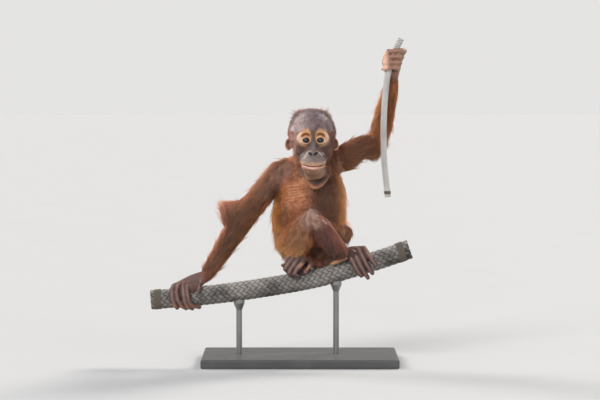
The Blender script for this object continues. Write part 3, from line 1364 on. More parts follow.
def face_tint(local, mottle):
    """The colour of the bare skin at places in the head's own frame."""
    x, y, z = local.T
    wide = np.abs(x)
    face = np.tile(tone(108, 76, 66), (len(local), 1))
    lay(face, fade(-x, 0.026, 0.038), 166, 122, 112)
    lay(face, fade(x, 0.026, 0.038), 104, 68, 66)
    forehead = fade(z, 0.000, 0.012)
    lay(face, forehead, 132, 110, 114)
    lay(face, forehead * fade(z, 0.020, 0.040) * 0.7, 122, 106, 122)
    lay(face, forehead * fade(-x, 0.006, 0.026) * 0.8, 196, 176, 176)
    lay(face, forehead * fade(mottle, -0.2, 0.9) * 0.30, 172, 154, 150)
    between_eyes = fade(-wide, -0.010, -0.004) * fade(-np.abs(z + 0.008), -0.026, -0.014)
    lay(face, between_eyes * fade(-y, 0.02, 0.04), 88, 68, 54)
    front = fade(-y, 0.022, 0.034)
    below = fade(-z, 0.018, 0.026) * fade(-np.abs(z + 0.034), -0.020, -0.010)
    lay(face, below * fade(-np.abs(wide - 0.026), -0.014, -0.006) * front * 0.9, 74, 51, 43)
    for side in (-1, 1):
        up = (z + 0.0062) / 0.0182
        narrow = 0.0150 * (1.0 - 0.30 * np.clip(up, 0.0, 1.0))
        ring = np.hypot((x * side - 0.0182 + 0.0040 * np.clip(up, -0.4, 1.0)) / narrow, up)
        low_outer = fade(x * side - 0.0180 - 0.8 * (z + 0.0100), 0.0080, 0.0200)
        patch = fade(-ring, -1.16, -0.84) * front * fade(x * side, 0.0024, 0.0062) * (1.0 - 0.75 * low_outer)
        lay(face, patch, 198, 148, 108)
        outer = fade(x * side - 0.35 * z, 0.0190, 0.0300) * fade(z, -0.0230, -0.0120)
        lay(face, patch * outer * (0.9 if side < 0 else 0.5), 240, 210, 186)
        lay(face, patch * fade(-z, 0.0165, 0.0240) * 0.65, 146, 108, 78)
        lay(face, patch * fade(-x * side, -0.0100, -0.0050) * 0.5, 168, 116, 74)
        crease, share = seen_line(local, eye_arc(side, *LID_CREASE))
        ends = fade(share, 0.0, 0.22) * fade(1.0 - share, 0.0, 0.22)
        lay(face, fade(-crease, -0.0040, -0.0006) * patch * ends, 112, 60, 24)
        lay(face, fade(-crease, -0.0060, -0.0024) * patch * 0.35, 150, 92, 48)
        under, _ = seen_line(local, eye_arc(side, *LID_UNDER))
        lay(face, fade(-under, -0.0018, -0.0004) * patch * 0.45, 140, 92, 60)
        lid = eye_reach(local, side, EYE_OPENING[0], EYE_OPENING[1])
        lower = 0.40 + 0.55 * fade(x * side - EYE_PLACE[0] - (z - EYE_PLACE[2]), -0.0050, 0.0060)
        lay(face, fade(-np.abs(lid - 1.14), -0.20, -0.06) * front * lower, 232, 198, 168)
        lay(face, fade(-lid, -1.06, -0.96) * front, 52, 30, 26)
    muzzle_half = np.interp(-z, (0.030, 0.036, 0.048, 0.060, 0.080), (0.0110, 0.0140, 0.0215, 0.0262, 0.0250))
    muzzle = fade(-wide / muzzle_half, -1.20, -0.80) * front
    muzzle = muzzle * fade(-z, 0.024, 0.036) * fade(z, -0.0900, -0.0800)
    lay(face, muzzle, 126, 110, 105)
    lay(face, muzzle * fade(-x, 0.004, 0.022) * 0.55, 184, 168, 160)
    bridge = fade(-wide, -0.0120, -0.0050) * fade(-z, 0.008, 0.022) * fade(z, -0.046, -0.034) * front
    lay(face, bridge, 112, 101, 98)
    for side in (-1, 1):
        wing = nostril_reach(local, side, 0.0066, 0.0048)
        rim = np.exp(-(((wing - 1.0) / 0.20) ** 2)) * fade(wide, 0.002, 0.005)
        lay(face, rim * front * (0.35 if side < 0 else 0.2), 176, 164, 158)
    line, _ = seen_line(local, [mouth_line(-1 + step / 12) for step in range(25)])
    arch = MOUTH_MIDDLE[2] + (MOUTH_CORNER[2] - MOUTH_MIDDLE[2]) * (wide / MOUTH_CORNER[0]) ** 2
    over = fade(z - arch, -0.0002, 0.0006)
    band = fade(-(z - arch), -0.0125, -0.0045) * over * fade(-wide, -0.0290, -0.0240) * front
    lay(face, band * (0.80 + 0.20 * drift(local, 0.006, 8)), 198, 154, 124)
    chin = fade(-z, 0.067, 0.071) * fade(-np.hypot(x / 0.0240, (z + 0.0820) / 0.0190), -1.20, -0.78) * front
    lay(face, chin * 0.9, 158, 120, 94)
    lay(face, chin * fade(drift(local, 0.008, 9), 0.0, 0.9) * 0.6, 124, 82, 56)
    lip = fade(-line, -0.0092, -0.0052) * (1.0 - over) * front
    lay(face, lip * 0.92, 212, 160, 138)
    lay(face, lip * fade(-x, -0.0160, 0.0020) * 0.6, 226, 180, 166)
    lay(face, fade(-line, -0.0026, -0.0012) * over * front * 0.6, 172, 118, 104)
    lay(face, fade(-line, -0.0011, -0.0004) * front, 92, 52, 48)
    for side in (-1, 1):
        hole = nostril_reach(local, side, 0.0056, 0.0031)
        lay(face, fade(-hole, -1.10, -0.74) * front, 24, 17, 16)
        shade = nostril_reach(local - np.array((side * -0.0006, 0.0, -0.0026)), side, 0.0048, 0.0034)
        lay(face, fade(-shade, -1.15, -0.60) * front * 0.5, 82, 76, 76)
    for side in (-1, 1):
        ear = local - np.array(EAR_PLACE) * (side, 1, 1)
        reach = np.hypot(ear[:, 0] / 0.0085, ear[:, 2] / EAR_SIZE[2])
        on_ear = fade(-np.linalg.norm(ear, axis=1), -0.0200, -0.0165) * fade(wide, 0.0440, 0.0470)
        lay(face, on_ear, 158, 102, 74)
        lay(face, on_ear * fade(reach, 0.74, 0.98), 228, 184, 150)
        lay(face, on_ear * fade(-reach, -0.78, -0.46) * fade(-ear[:, 1], -0.004, 0.002), 84, 44, 32)
    return face


def skin_tint(places, bend):
    """The colour of the bare skin at places on the body, where it bends as given."""
    local = to_head(places)
    x, y, z = places.T
    mottle = drift(places, 0.020, 11)
    colours = np.tile(tone(122, 74, 54), (len(places), 1))
    front = fade(-y, 0.0, 0.03)
    ribs = np.sin(z * math.tau / 0.0056 + drift(places, 0.03, 15))
    chest = fade(z, 0.285, 0.32) * fade(-z, -0.40, -0.375) * front
    lay(colours, chest * 0.9, 172, 111, 76)
    lay(colours, chest * chest_middle(places) * 0.9, 66, 40, 34)
    for line in chest_lines():
        distance, share = seen_line(places, line)
        ends = fade(share, 0.0, 0.15) * fade(1.0 - share, 0.0, 0.2) * chest
        ragged = 0.55 + 0.45 * drift(places, 0.012, 14)
        lay(colours, fade(-distance, -0.0020, -0.0003) * ends * ragged * 0.65, 92, 52, 38)
        higher, _ = seen_line(places, raised_line(line))
        lay(colours, fade(-higher, -0.0024, -0.0004) * ends * ragged * 0.5, 226, 162, 118)
    flank, _ = seen_line(places, ((-0.0320, 0.0, 0.3250), (-0.0300, 0.0, 0.3050)))
    lay(colours, fade(-flank, -0.0140, -0.0040) * chest * fade(ribs, -0.2, 0.8) * 0.6, 104, 92, 74)
    lay(colours, fade(-from_armpit(places), -0.0110, -0.0030) * front * 0.9, 58, 32, 28)
    lay(colours, fade(-from_shoulder(places), -0.046, -0.020) * 0.9, 132, 98, 84)
    lay(colours, fade(-from_knee(places), -0.040, -0.014) * 0.9, 168, 138, 126)
    hands = bare_hands(places)
    lay(colours, hands, 100, 73, 68)
    wrapped = hands * fade(-y, 0.016, 0.028) * fade(-z, -0.300, -0.280)
    lay(colours, wrapped * 0.4, 72, 50, 46)
    to_digit = np.min([near_line(places, line)[0] for line in digit_lines], axis=0)
    to_ridge = np.min([near_line(places, line)[0] for line in digit_ridges], axis=0)
    between = wrapped * fade(to_digit, 0.0052, 0.0064)
    lay(colours, hands * fade(bend, 60.0, 260.0) * 0.4, 150, 118, 108)
    lay(colours, hands * fade(-to_ridge, -0.0034, -0.0008) * 0.34, 176, 142, 130)
    lay(colours, between * 0.85, 56, 36, 30)
    under_tips = wrapped * fade(-z, -0.124, -0.116) * fade(-x, 0.18, 0.20)
    lay(colours, under_tips * 0.6, 176, 110, 72)
    lay(colours, hands * fade(-bend, 0.0, 80.0) * 0.9, 44, 28, 26)
    for line in toe_gaps():
        gap, _ = near_line(places, line)
        lay(colours, fade(-gap, -0.0034, -0.0016) * 0.85, 40, 24, 20)
    palm, _ = near_line(places, ((0.004, -0.034, 0.2010), (0.016, -0.030, 0.1940)))
    lay(colours, fade(-palm, -0.0090, -0.0040) * hands * 0.75, 188, 136, 100)
    raised = hands * fade(z, 0.50, 0.56)
    lay(colours, raised * 0.45, 190, 142, 116)
    rim_lit = raised * fade(-x, -0.184, -0.176)
    lay(colours, rim_lit * 0.7, 240, 198, 172)
    heel = near_line(places, ((0.062, -0.020, 0.2060), (0.092, -0.022, 0.2130)))[0]
    lay(colours, fade(-heel, -0.0085, -0.0050) * hands * 0.9, 196, 142, 102)
    ahead_of_neck = fade(-y, 0.012, 0.030)
    lay(colours, fade(-throat_oval(places), -1.10, -0.85) * ahead_of_neck, 56, 36, 26)
    rolled = near_line(places, [Vector(point) + ROLL_LIT for point in THROAT_LINE])[0]
    low = 1.0 - fade(z, 0.380, 0.394) * fade(x, 0.030, 0.045)
    lay(colours, fade(-rolled, -0.0054, -0.0016) * 0.75 * low, 184, 126, 88)
    head = in_head(local)
    colours = colours + (face_tint(local, mottle) - colours) * head[:, None]
    lay(colours, head * fade(-bend, 60.0, 240.0) * 0.35, 62, 42, 38)
    return np.clip(colours * (1.0 + 0.10 * mottle[:, None]), 0.0, 1.0)


def set_tint(mesh, colours):
    """Keeps a colour for each vertex of a mesh, under the name that the finishes read."""
    layer = mesh.color_attributes.new("tint", "FLOAT_COLOR", "POINT")
    rows = np.column_stack((colours, np.ones(len(colours))))
    layer.data.foreach_set("color", rows.astype(np.float32).ravel())


def tinted(tree, shader, *shades):
    """Gives a finish the colours kept in its mesh, each made lighter or darker by every shade."""
    colour = add_node(tree, "ShaderNodeAttribute", attribute_name="tint").outputs["Color"]
    for shade in shades:
        scaled = add_node(tree, "ShaderNodeVectorMath", {0: colour, "Scale": shade}, operation="SCALE")
        colour = scaled.outputs[0]
    tree.links.new(colour, shader.inputs["Base Color"])


skin_finish, tree, shader = finish_named(
    "skin", Subsurface_Weight=0.12, Subsurface_Radius=(0.004, 0.0018, 0.0010), Subsurface_Scale=0.4,
    Specular_IOR_Level=0.42,
)
places_node = object_places(tree)
pores = noise(tree, places_node, 1500.0, 2.0)
wrinkles = noise(tree, places_node, 340.0, 6.0, 0.72)
blotches = noise(tree, places_node, 110.0, 5.0)
shades = (ramp(tree, blotches, 0.3, 0.7, 0.84, 1.14), ramp(tree, wrinkles, 0.35, 0.65, 0.86, 1.12))
tinted(tree, shader, *shades)
tree.links.new(ramp(tree, wrinkles, 0.3, 0.7, 0.62, 0.46), shader.inputs["Roughness"])
wrinkle_bump = bump(tree, shader, wrinkles, 0.0010, 0.8)
bump(tree, shader, pores, 0.00016, 0.6, under=wrinkle_bump)
FLESH = (
    "head", "ear_right", "ear_left", "neck", "throat", "torso",
    "upper_arm_right", "forearm_right", "hand_right", "upper_arm_left", "forearm_left", "hand_left",
    "thigh_right", "shin_right", "foot_right", "thigh_left", "shin_left", "foot_left",
)
set_tint(skin.data, skin_tint(places_of(skin.data), bend_of(skin.data)))
# The jaw is drawn up a little at the last, with its colours
places = places_of(skin.data)
local = to_head(places)
below = JAW_FROM - local[:, 2]
smile = fade(-np.abs(local[:, 2] - SMILE_LEVEL), -0.024, -0.006)
smile *= np.minimum(np.abs(local[:, 0]) / 0.024, 1.3) ** 2
jaw = np.linalg.norm((local - JAW_MIDDLE) / JAW_HALF, axis=1)
places[:, 2] += (JAW_DRAWN_UP * np.maximum(below, 0.0) + SMILE * smile) * fade(-jaw, -1.1, -0.8)
move_to(skin.data, places)
skin.data.materials.clear()
skin.data.materials.append(skin_finish)
skin.data.shade_smooth()
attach(skin, "root")
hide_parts(*FLESH)
skin_tree_bm = bmesh.new()
skin_tree_bm.from_mesh(skin.data)
skin_surface = BVHTree.FromBMesh(skin_tree_bm)
skin_tree_bm.free()

# The eyes: glass balls as a modeller sets them, with a dark brown iris round a wide pupil under a
# clear raised cornea. They replace the plain eyes of the solids and sit at the same depth.
PUPIL_TURN = math.radians(19)
IRIS_TURN = math.radians(38)
CORNEA_RISE = 0.0006
LOOKED_AT = Vector((0.0, -4.0, 0.52))


def eye_finish():
    """Wet glass over a dark iris. The attribute gaze is each point's turn from the line of sight."""
    made, tree, shader = finish_named(
        "eye", Roughness=0.30, Coat_Weight=1.0, Coat_Roughness=0.03, Coat_IOR=1.34, Specular_IOR_Level=0.15
    )
    gaze = add_node(tree, "ShaderNodeAttribute", attribute_name="gaze").outputs["Fac"]
    streak = noise(tree, object_places(tree), 1600.0, 2.0)
    iris = mixed(tree, streak, ink(34, 20, 15), ink(64, 38, 24))
    bloom = ramp(tree, gaze, math.radians(3), math.radians(11), 0.75, 0.0)
    white = mixed(tree, streak, ink(62, 42, 36), ink(88, 64, 54))
    inside = ramp(tree, gaze, PUPIL_TURN - 0.04, PUPIL_TURN + 0.04)
    outside = ramp(tree, gaze, IRIS_TURN - 0.03, IRIS_TURN + 0.05)
    pupil = mixed(tree, bloom, ink(6, 5, 5), ink(112, 104, 116))
    colour = mixed(tree, inside, pupil, iris)
    colour_with(tree, shader, outside, colour, white)
    return made


glass = eye_finish()
for side, name in ((-1, "eye_right"), (1, "eye_left")):
    centre = head_frame() @ (mirrored(EYE_PLACE, side) + Vector((0.0, -EYE_LIFT, 0.0)))
    sight = (LOOKED_AT - centre).normalized()
    eye_bm = bmesh.new()
    bmesh.ops.create_uvsphere(eye_bm, u_segments=48, v_segments=32, radius=EYE_RADIUS - 0.0001)
    turns = []
    for vertex in eye_bm.verts:
        turn = vertex.co.normalized().angle(sight)
        turns.append(turn)
        vertex.co += vertex.co.normalized() * CORNEA_RISE * max(0.0, 1.0 - (turn / IRIS_TURN) ** 2)
    bmesh.ops.translate(eye_bm, vec=centre, verts=eye_bm.verts)
    eye = object_of("glass_" + name, eye_bm, glass)
    gaze_layer = eye.data.attributes.new("gaze", "FLOAT", "POINT")
    gaze_layer.data.foreach_set("value", turns)
    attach(eye, "root")
    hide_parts(name)

# The nails: thin dark horn plates, one on each finger and toe, set into the skin at the tips.
NAIL_SIZE = (0.0025, 0.0023, 0.0007)
NAIL_ON_GIRTH = 0.0046
NAIL_BACK = 0.0004
NAIL_SUNK = 0.0001
nail_finish, tree, shader = finish_named("nail", Roughness=0.35, Coat_Weight=0.2)
ridges = noise(tree, object_places(tree), 700.0, 3.0)
colour_with(tree, shader, ridges, ink(58, 42, 38), ink(112, 92, 84))
bump(tree, shader, ridges, 0.0001, 0.5)
nails_bm = bmesh.new()
for before, tip, girth in digit_ends:
    way = (tip - before).normalized()
    away = (tip - held_at(tip)).normalized()
    away = (away - way * away.dot(way)).normalized()
    place, _, _, _ = skin_surface.ray_cast(tip + away * 0.02, -away, 0.03)
    if place is None:
        continue
    across = way.cross(away).normalized()
    turn = Matrix((across * NAIL_SIZE[0], way * NAIL_SIZE[1], away * NAIL_SIZE[2])).transposed().to_4x4()
    bmesh.ops.create_uvsphere(
        nails_bm, u_segments=14, v_segments=8, radius=girth / NAIL_ON_GIRTH * 0.9,
        matrix=Matrix.Translation(place - way * NAIL_BACK - away * NAIL_SUNK) @ turn,
    )
nails = object_of("nails", nails_bm, nail_finish)
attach(nails, "root")

# The coat: solid strands of hair in small tufts, each rooted in the skin and laid along the body as
# it grows there, down the back, from shoulder and wrist to the elbow, and hanging from the shin.
# It is sparse on chest and crown, and short on face and hands, as the bare skin shows through.
COAT_SEED = 5
GRAVITY = Vector((0.0, 0.0, -1.0))
STRANDS = 8
ROOT_DEPTH = 0.0008
TUFT_PATCH = 0.0028
HAIR_CLEARANCE = 0.0006
STRAND_WAVE = 0.035
STRAND_GIRTHS = (0.85, 1.0, 0.72)
LENGTH_SPAN = (0.76, 1.18)
LIE_SCATTER = 0.17
# The shortest, finest hairs, which stand on the forehead and the crown
FINE_LENGTHS = (0.0045, 0.0090)
FINE_WIDTH = 0.00019
FINE_LIFT = 0.0008
# The share of tufts that stand off the coat, and what that does to their lift and cling
FLYAWAYS = 0.09
FLYAWAY_LIFT = 2.2
FLYAWAY_CLING = 0.4
GOLD = tone(226, 150, 84)
# Each field of hair: stations, way of the lie along them, length, lift, droop, cling, tufts per cm2,
# width of a strand, spread of a tuft, share of gold at the tips, and the corner of its bake cell
FIELDS = {
    "trunk": (TRUNK, 0, 0.042, 0.0050, 0.05, 0.60, 5.2, 0.00050, 0.0024, 0.50, (0, 0)),
    "upper_arm_right": (ARM_RIGHT[:3], 1, 0.036, 0.0050, 0.02, 0.70, 7.4, 0.00046, 0.0022, 0.40, (2, 0)),
    "forearm_right": (ARM_RIGHT[2:], -1, 0.033, 0.0048, 0.00, 0.70, 7.4, 0.00046, 0.0022, 0.40, (3, 0)),
    "upper_arm_left": (ARM_LEFT[:3], 1, 0.034, 0.0050, 0.16, 0.60, 7.4, 0.00046, 0.0022, 0.35, (0, 1)),
    "forearm_left": (ARM_LEFT[2:], -1, 0.033, 0.0048, 0.12, 0.60, 7.4, 0.00046, 0.0022, 0.55, (1, 1)),
    "thigh_right": (LEG_RIGHT[:4], -1, 0.023, 0.0022, 0.10, 0.80, 7.6, 0.00042, 0.0020, 0.40, (2, 1)),
    "shin_right": (LEG_RIGHT[3:], 1, 0.034, 0.0036, 0.30, 0.50, 7.6, 0.00044, 0.0020, 0.20, (3, 1)),
    "thigh_left": (LEG_LEFT[:3], -1, 0.028, 0.0034, 0.30, 0.65, 6.6, 0.00046, 0.0022, 0.30, (0, 2)),
    "shin_left": (LEG_LEFT[2:], 1, 0.028, 0.0030, 0.30, 0.60, 6.6, 0.00046, 0.0022, 0.25, (1, 2)),
    "head": (None, 0, 0.026, 0.0040, 0.00, 0.55, 6.4, 0.00038, 0.0026, 0.22, (2, 2)),
}
FIELD_NAMES = list(FIELDS)
# Where the long hair of each elbow gathers: the joint of the arm and the point that the hair runs to
ELBOW_TIPS = (
    (ARM_RIGHT[2][0], (-0.1725, 0.0300, 0.3290)),
    (ARM_LEFT[2][0], (0.1600, 0.0840, 0.4100)),
)


def field_of(places):
    """Which field of hair each place belongs to, with its share along that field and the limb's way."""
    reaches = [limb_reach(places, FIELDS[name][0]) for name in FIELD_NAMES if FIELDS[name][0]]
    nearest = np.array([reach[0] for reach in reaches]).argmin(axis=0)
    rows = np.arange(len(places))
    share = np.array([reach[1] for reach in reaches])[nearest, rows]
    way = np.array([reach[2] for reach in reaches])[nearest, rows]
    nearest[in_head(to_head(places)) > 0.5] = FIELD_NAMES.index("head")
    return nearest, share, way


def scaled_to(vectors):
    """Vectors brought to length 1."""
    return vectors / np.maximum(np.linalg.norm(vectors, axis=1), 1e-9)[:, None]


def blend(before, after, mask):
    """Each row of one array led over to the other by a mask."""
    return before + (np.asarray(after) - before) * (mask[:, None] if before.ndim > 1 else mask)


def head_hair(local):
    """Lie, length, density, lift and width of the hair of the head, in the head's own frame."""
    x, y, z = local.T
    wide = np.abs(x)
    side = np.sign(x)
    level = np.ones(len(x))
    aside = side * 0.25 * fade(wide, 0.0, 0.02)
    lie = np.column_stack((aside, 0.9 * level, -0.55 * fade(wide, 0.015, 0.045)))
    lie = blend(lie, np.column_stack((side * 0.2, 0.15 * level, -level)), fade(y, 0.020, 0.045))
    beside = fade(wide, 0.034, 0.042) * fade(-y, -0.02, 0.0) * fade(-z, -0.016, 0.004)
    lie = blend(lie, np.column_stack((side * 0.55, 0.55 * level, -0.75 * level)), beside)
    crown = fade(z, 0.026, 0.042)
    length = 0.013 + 0.018 * fade(y, -0.020, 0.030)
    density = 0.30 + 0.70 * fade(y, -0.012, 0.020)
    beside_face = fade(wide, 0.0320, 0.0400) * fade(-z, -0.020, 0.000) * fade(-y, -0.012, 0.006)
    density = blend(density, 0.60 * level, beside_face)
    length = blend(length, 0.0095 * level, beside_face)
    hairline = np.clip(fade(y, -0.050, -0.020) + 0.6 * fade(wide, 0.034, 0.044), 0.0, 1.0)
    fringe = 0.009 + np.maximum(wide - 0.020, 0.0)
    forehead = fade(z, 0.004, fringe) * fade(-y, -0.034, 0.000) * (1.0 - 0.7 * beside_face)
    fine = fade(forehead, 0.02, 0.20) * (1.0 - 0.34 * fade(y, -0.024, 0.000))
    density = density * (0.12 + 0.88 * hairline) * (1.0 - forehead) + 2.0 * forehead
    face = (fade(-y, 0.020, 0.034) * fade(-wide, -0.040, -0.032) > 0.5) & (z < 0.007)
    cheek = fade(wide, 0.024, 0.034) * fade(-z, 0.006, 0.020) * fade(y, -0.052, -0.040)
    density = np.where(face, 0.40 * cheek, density)
    length = np.where(face, 0.008, length)
    fine = np.where(face, 0.0, fine)
    jaw = fade(-z, 0.030, 0.050) * fade(y, -0.046, -0.030) * fade(wide, 0.018, 0.028)
    density = np.maximum(density, 0.8 * jaw)
    length = np.where(jaw > 0.4, 0.014, length)
    chin = fade(-z, 0.071, 0.076) * fade(-wide, -0.020, -0.012) * fade(-y, 0.040, 0.055)
    lip = fade(-z, 0.052, 0.056) * fade(z, -0.0640, -0.0625) * fade(-wide, -0.024, -0.018)
    lip = lip * fade(-y, 0.050, 0.060)
    stubble = chin + lip > 0.3
    density = np.maximum(density, 0.9 * chin + 0.25 * lip)
    length = np.where(stubble, 0.0030, length)
    lie = np.where(stubble[:, None], np.column_stack((side * 0.2, 0.1 * level, -level)), lie)
    near_eye = np.min([eye_reach(local, eye, 0.0175, 0.0205, 0.003, 0.003) for eye in (-1, 1)], axis=0)
    density *= fade(near_eye, 0.92, 1.05) + (y > -0.02)
    from_ear = np.linalg.norm((wide - EAR_PLACE[0], y - EAR_PLACE[1], z - EAR_PLACE[2]), axis=0)
    density *= from_ear > 0.0185
    length = np.minimum(length, 0.006 + 0.5 * np.maximum(from_ear - 0.018, 0.0))
    density = blend(density, 0.62 * density, fade(y, 0.020, 0.040))
    lift = 0.0016 + 0.0080 * crown * fade(wide, 0.010, 0.026)
    lift = np.where(length < 0.010, 0.0008, lift)
    width = np.where(length < 0.010, 0.00024, 0.00034 + 0.00008 * fade(y, 0.010, 0.030))
    return lie, length, density, lift, width, fine


def under_thigh(places):
    """1 in the shade between the right thigh and the perch, and 0 elsewhere."""
    x, _, z = places.T
    return fade(-z, -0.258, -0.236) * fade(x, 0.008, 0.022) * fade(-x, -0.066, -0.056)


def coat_plan(places, normals):
    """What grows at each place, as one array for each thing that the table of fields names."""
    field, share, way = field_of(places)
    table = np.array([FIELDS[name][1:10] for name in FIELD_NAMES], float)
    sign, length, lift, droop, cling, density, width, spread, gold = table[field].T
    lie = way * sign[:, None]
    x, y, z = places.T
    front = fade(-normals[:, 1], 0.0, 0.65)
    trunk = (field == FIELD_NAMES.index("trunk")).astype(float)
    lie = blend(lie, np.array((0.0, 0.0, -1.0)) + normals * (0.25, 0.25, 0.0), trunk)
    towards_side = np.column_stack((np.sign(x - 0.02) * 0.55, np.zeros(len(x)), np.full(len(x), -0.8)))
    lie = blend(lie, towards_side, trunk * front)
    flank = fade(np.abs(x - 0.018), 0.036, 0.060)
    length = blend(length, 0.013 + 0.012 * flank, trunk * front)
    width = blend(width, 0.00026 + 0.00014 * flank, trunk * front)
    spread = blend(spread, np.full(len(x), 0.0040), trunk * front)
    lift *= 1.0 - 0.6 * trunk * front
    collar = trunk * fade(z, 0.385, 0.400)
    length *= 1.0 - 0.50 * collar
    folded = trunk * fade(z, 0.318, 0.332) * fade(-z, -0.384, -0.362)
    folded = folded * fade(-np.abs(x + 0.008), -0.038, -0.016) * front
    density *= 1.0 - 0.66 * folded
    length *= 1.0 - 0.30 * folded
    thin = fade(-from_shoulder(places), -0.046, -0.026) * fade(-y, -0.004, 0.012)
    density *= 1.0 - 0.20 * thin
    length *= 1.0 - 0.50 * thin
    width *= 1.0 - 0.42 * thin
    spread = spread + 0.0016 * thin
    bare_knee = fade(-from_knee(places), -0.040, -0.016)
    density *= 1.0 - 0.45 * bare_knee
    length *= 1.0 - 0.50 * bare_knee
    width *= 1.0 - 0.40 * bare_knee
    over_toe = (field == FIELD_NAMES.index("shin_right")) * fade(x, 0.058, 0.068) * fade(-z, -0.256, -0.240)
    length *= 1.0 - 0.65 * over_toe
    hands = bare_hands(places)
    on_perch = ("hand_right", "foot_right", "foot_left")
    hanging_from = np.min([limb_reach(places, HANDS[name])[0] for name in on_perch], axis=0)
    beyond = fade(hands, 0.10, 0.50)
    to_fist = limb_reach(places, HANDS["foot_left"])[0]
    on_back = 1.2 * beyond * fade(-hands, -0.93, -0.5) * fade(to_fist, 0.002, 0.008)
    density = density * (1.0 - beyond) + on_back
    length *= 1.0 - 0.35 * fade(-to_fist, -0.030, -0.004)
    length = length * (1.0 - 0.25 * fade(-hanging_from, -0.024, -0.006)) * (1.0 - 0.55 * beyond)
    lift *= 1.0 - 0.75 * beyond
    width *= 1.0 - 0.35 * beyond
    throat, _ = near_line(places, THROAT_LINE)
    off_throat = fade(throat, 0.0075, 0.0120) * fade(throat_oval(places), 0.95, 1.10)
    density = density * np.maximum(off_throat, fade(y, -0.014, -0.004))
    free = np.zeros(len(x))
    for joint, tip in ELBOW_TIPS:
        joint = np.array(joint)
        outward = scaled_to((np.array(tip) - joint)[None])[0]
        reach = np.linalg.norm(places - joint, axis=1)
        tuft = fade(-reach, -0.076, -0.048) * fade((places - joint) @ outward, -0.001, 0.013)
        onward = np.array(tip) - places
        distance = np.linalg.norm(onward, axis=1)
        lie = blend(scaled_to(lie), onward / distance[:, None], tuft)
        length = blend(length, np.minimum(distance * 0.92, 0.070), tuft)
        free = np.maximum(free, tuft)
        spread *= 1.0 - 0.50 * tuft
        gold *= 1.0 - 0.5 * tuft
        lift = blend(lift, np.full(len(x), 0.0012), tuft)
        cling *= 1.0 - 0.95 * tuft
        droop *= 1.0 - tuft
    gold *= 1.0 - 0.95 * under_thigh(places)
    gold *= 1.0 - 0.6 * trunk * front * fade(-z, -0.315, -0.285)
    head = field == FIELD_NAMES.index("head")
    turn = np.array(head_frame().to_3x3())
    head_lie, head_length, head_density, head_lift, head_width, head_fine = head_hair(to_head(places[head]))
    fine = np.zeros(len(x))
    fine[head] = head_fine
    gold[head] *= 1.0 - 0.7 * fade(to_head(places[head])[:, 2], 0.000, 0.020)
    lie[head] = head_lie @ turn.T
    length[head] = head_length
    density[head] *= head_density
    lift[head] = head_lift
    width[head] = head_width
    return {
        "field": field, "share": share, "lie": lie, "length": length, "lift": lift, "droop": droop,
        "cling": cling, "density": density, "width": width, "spread": spread, "gold": gold,
        "fine": fine, "free": free,
    }


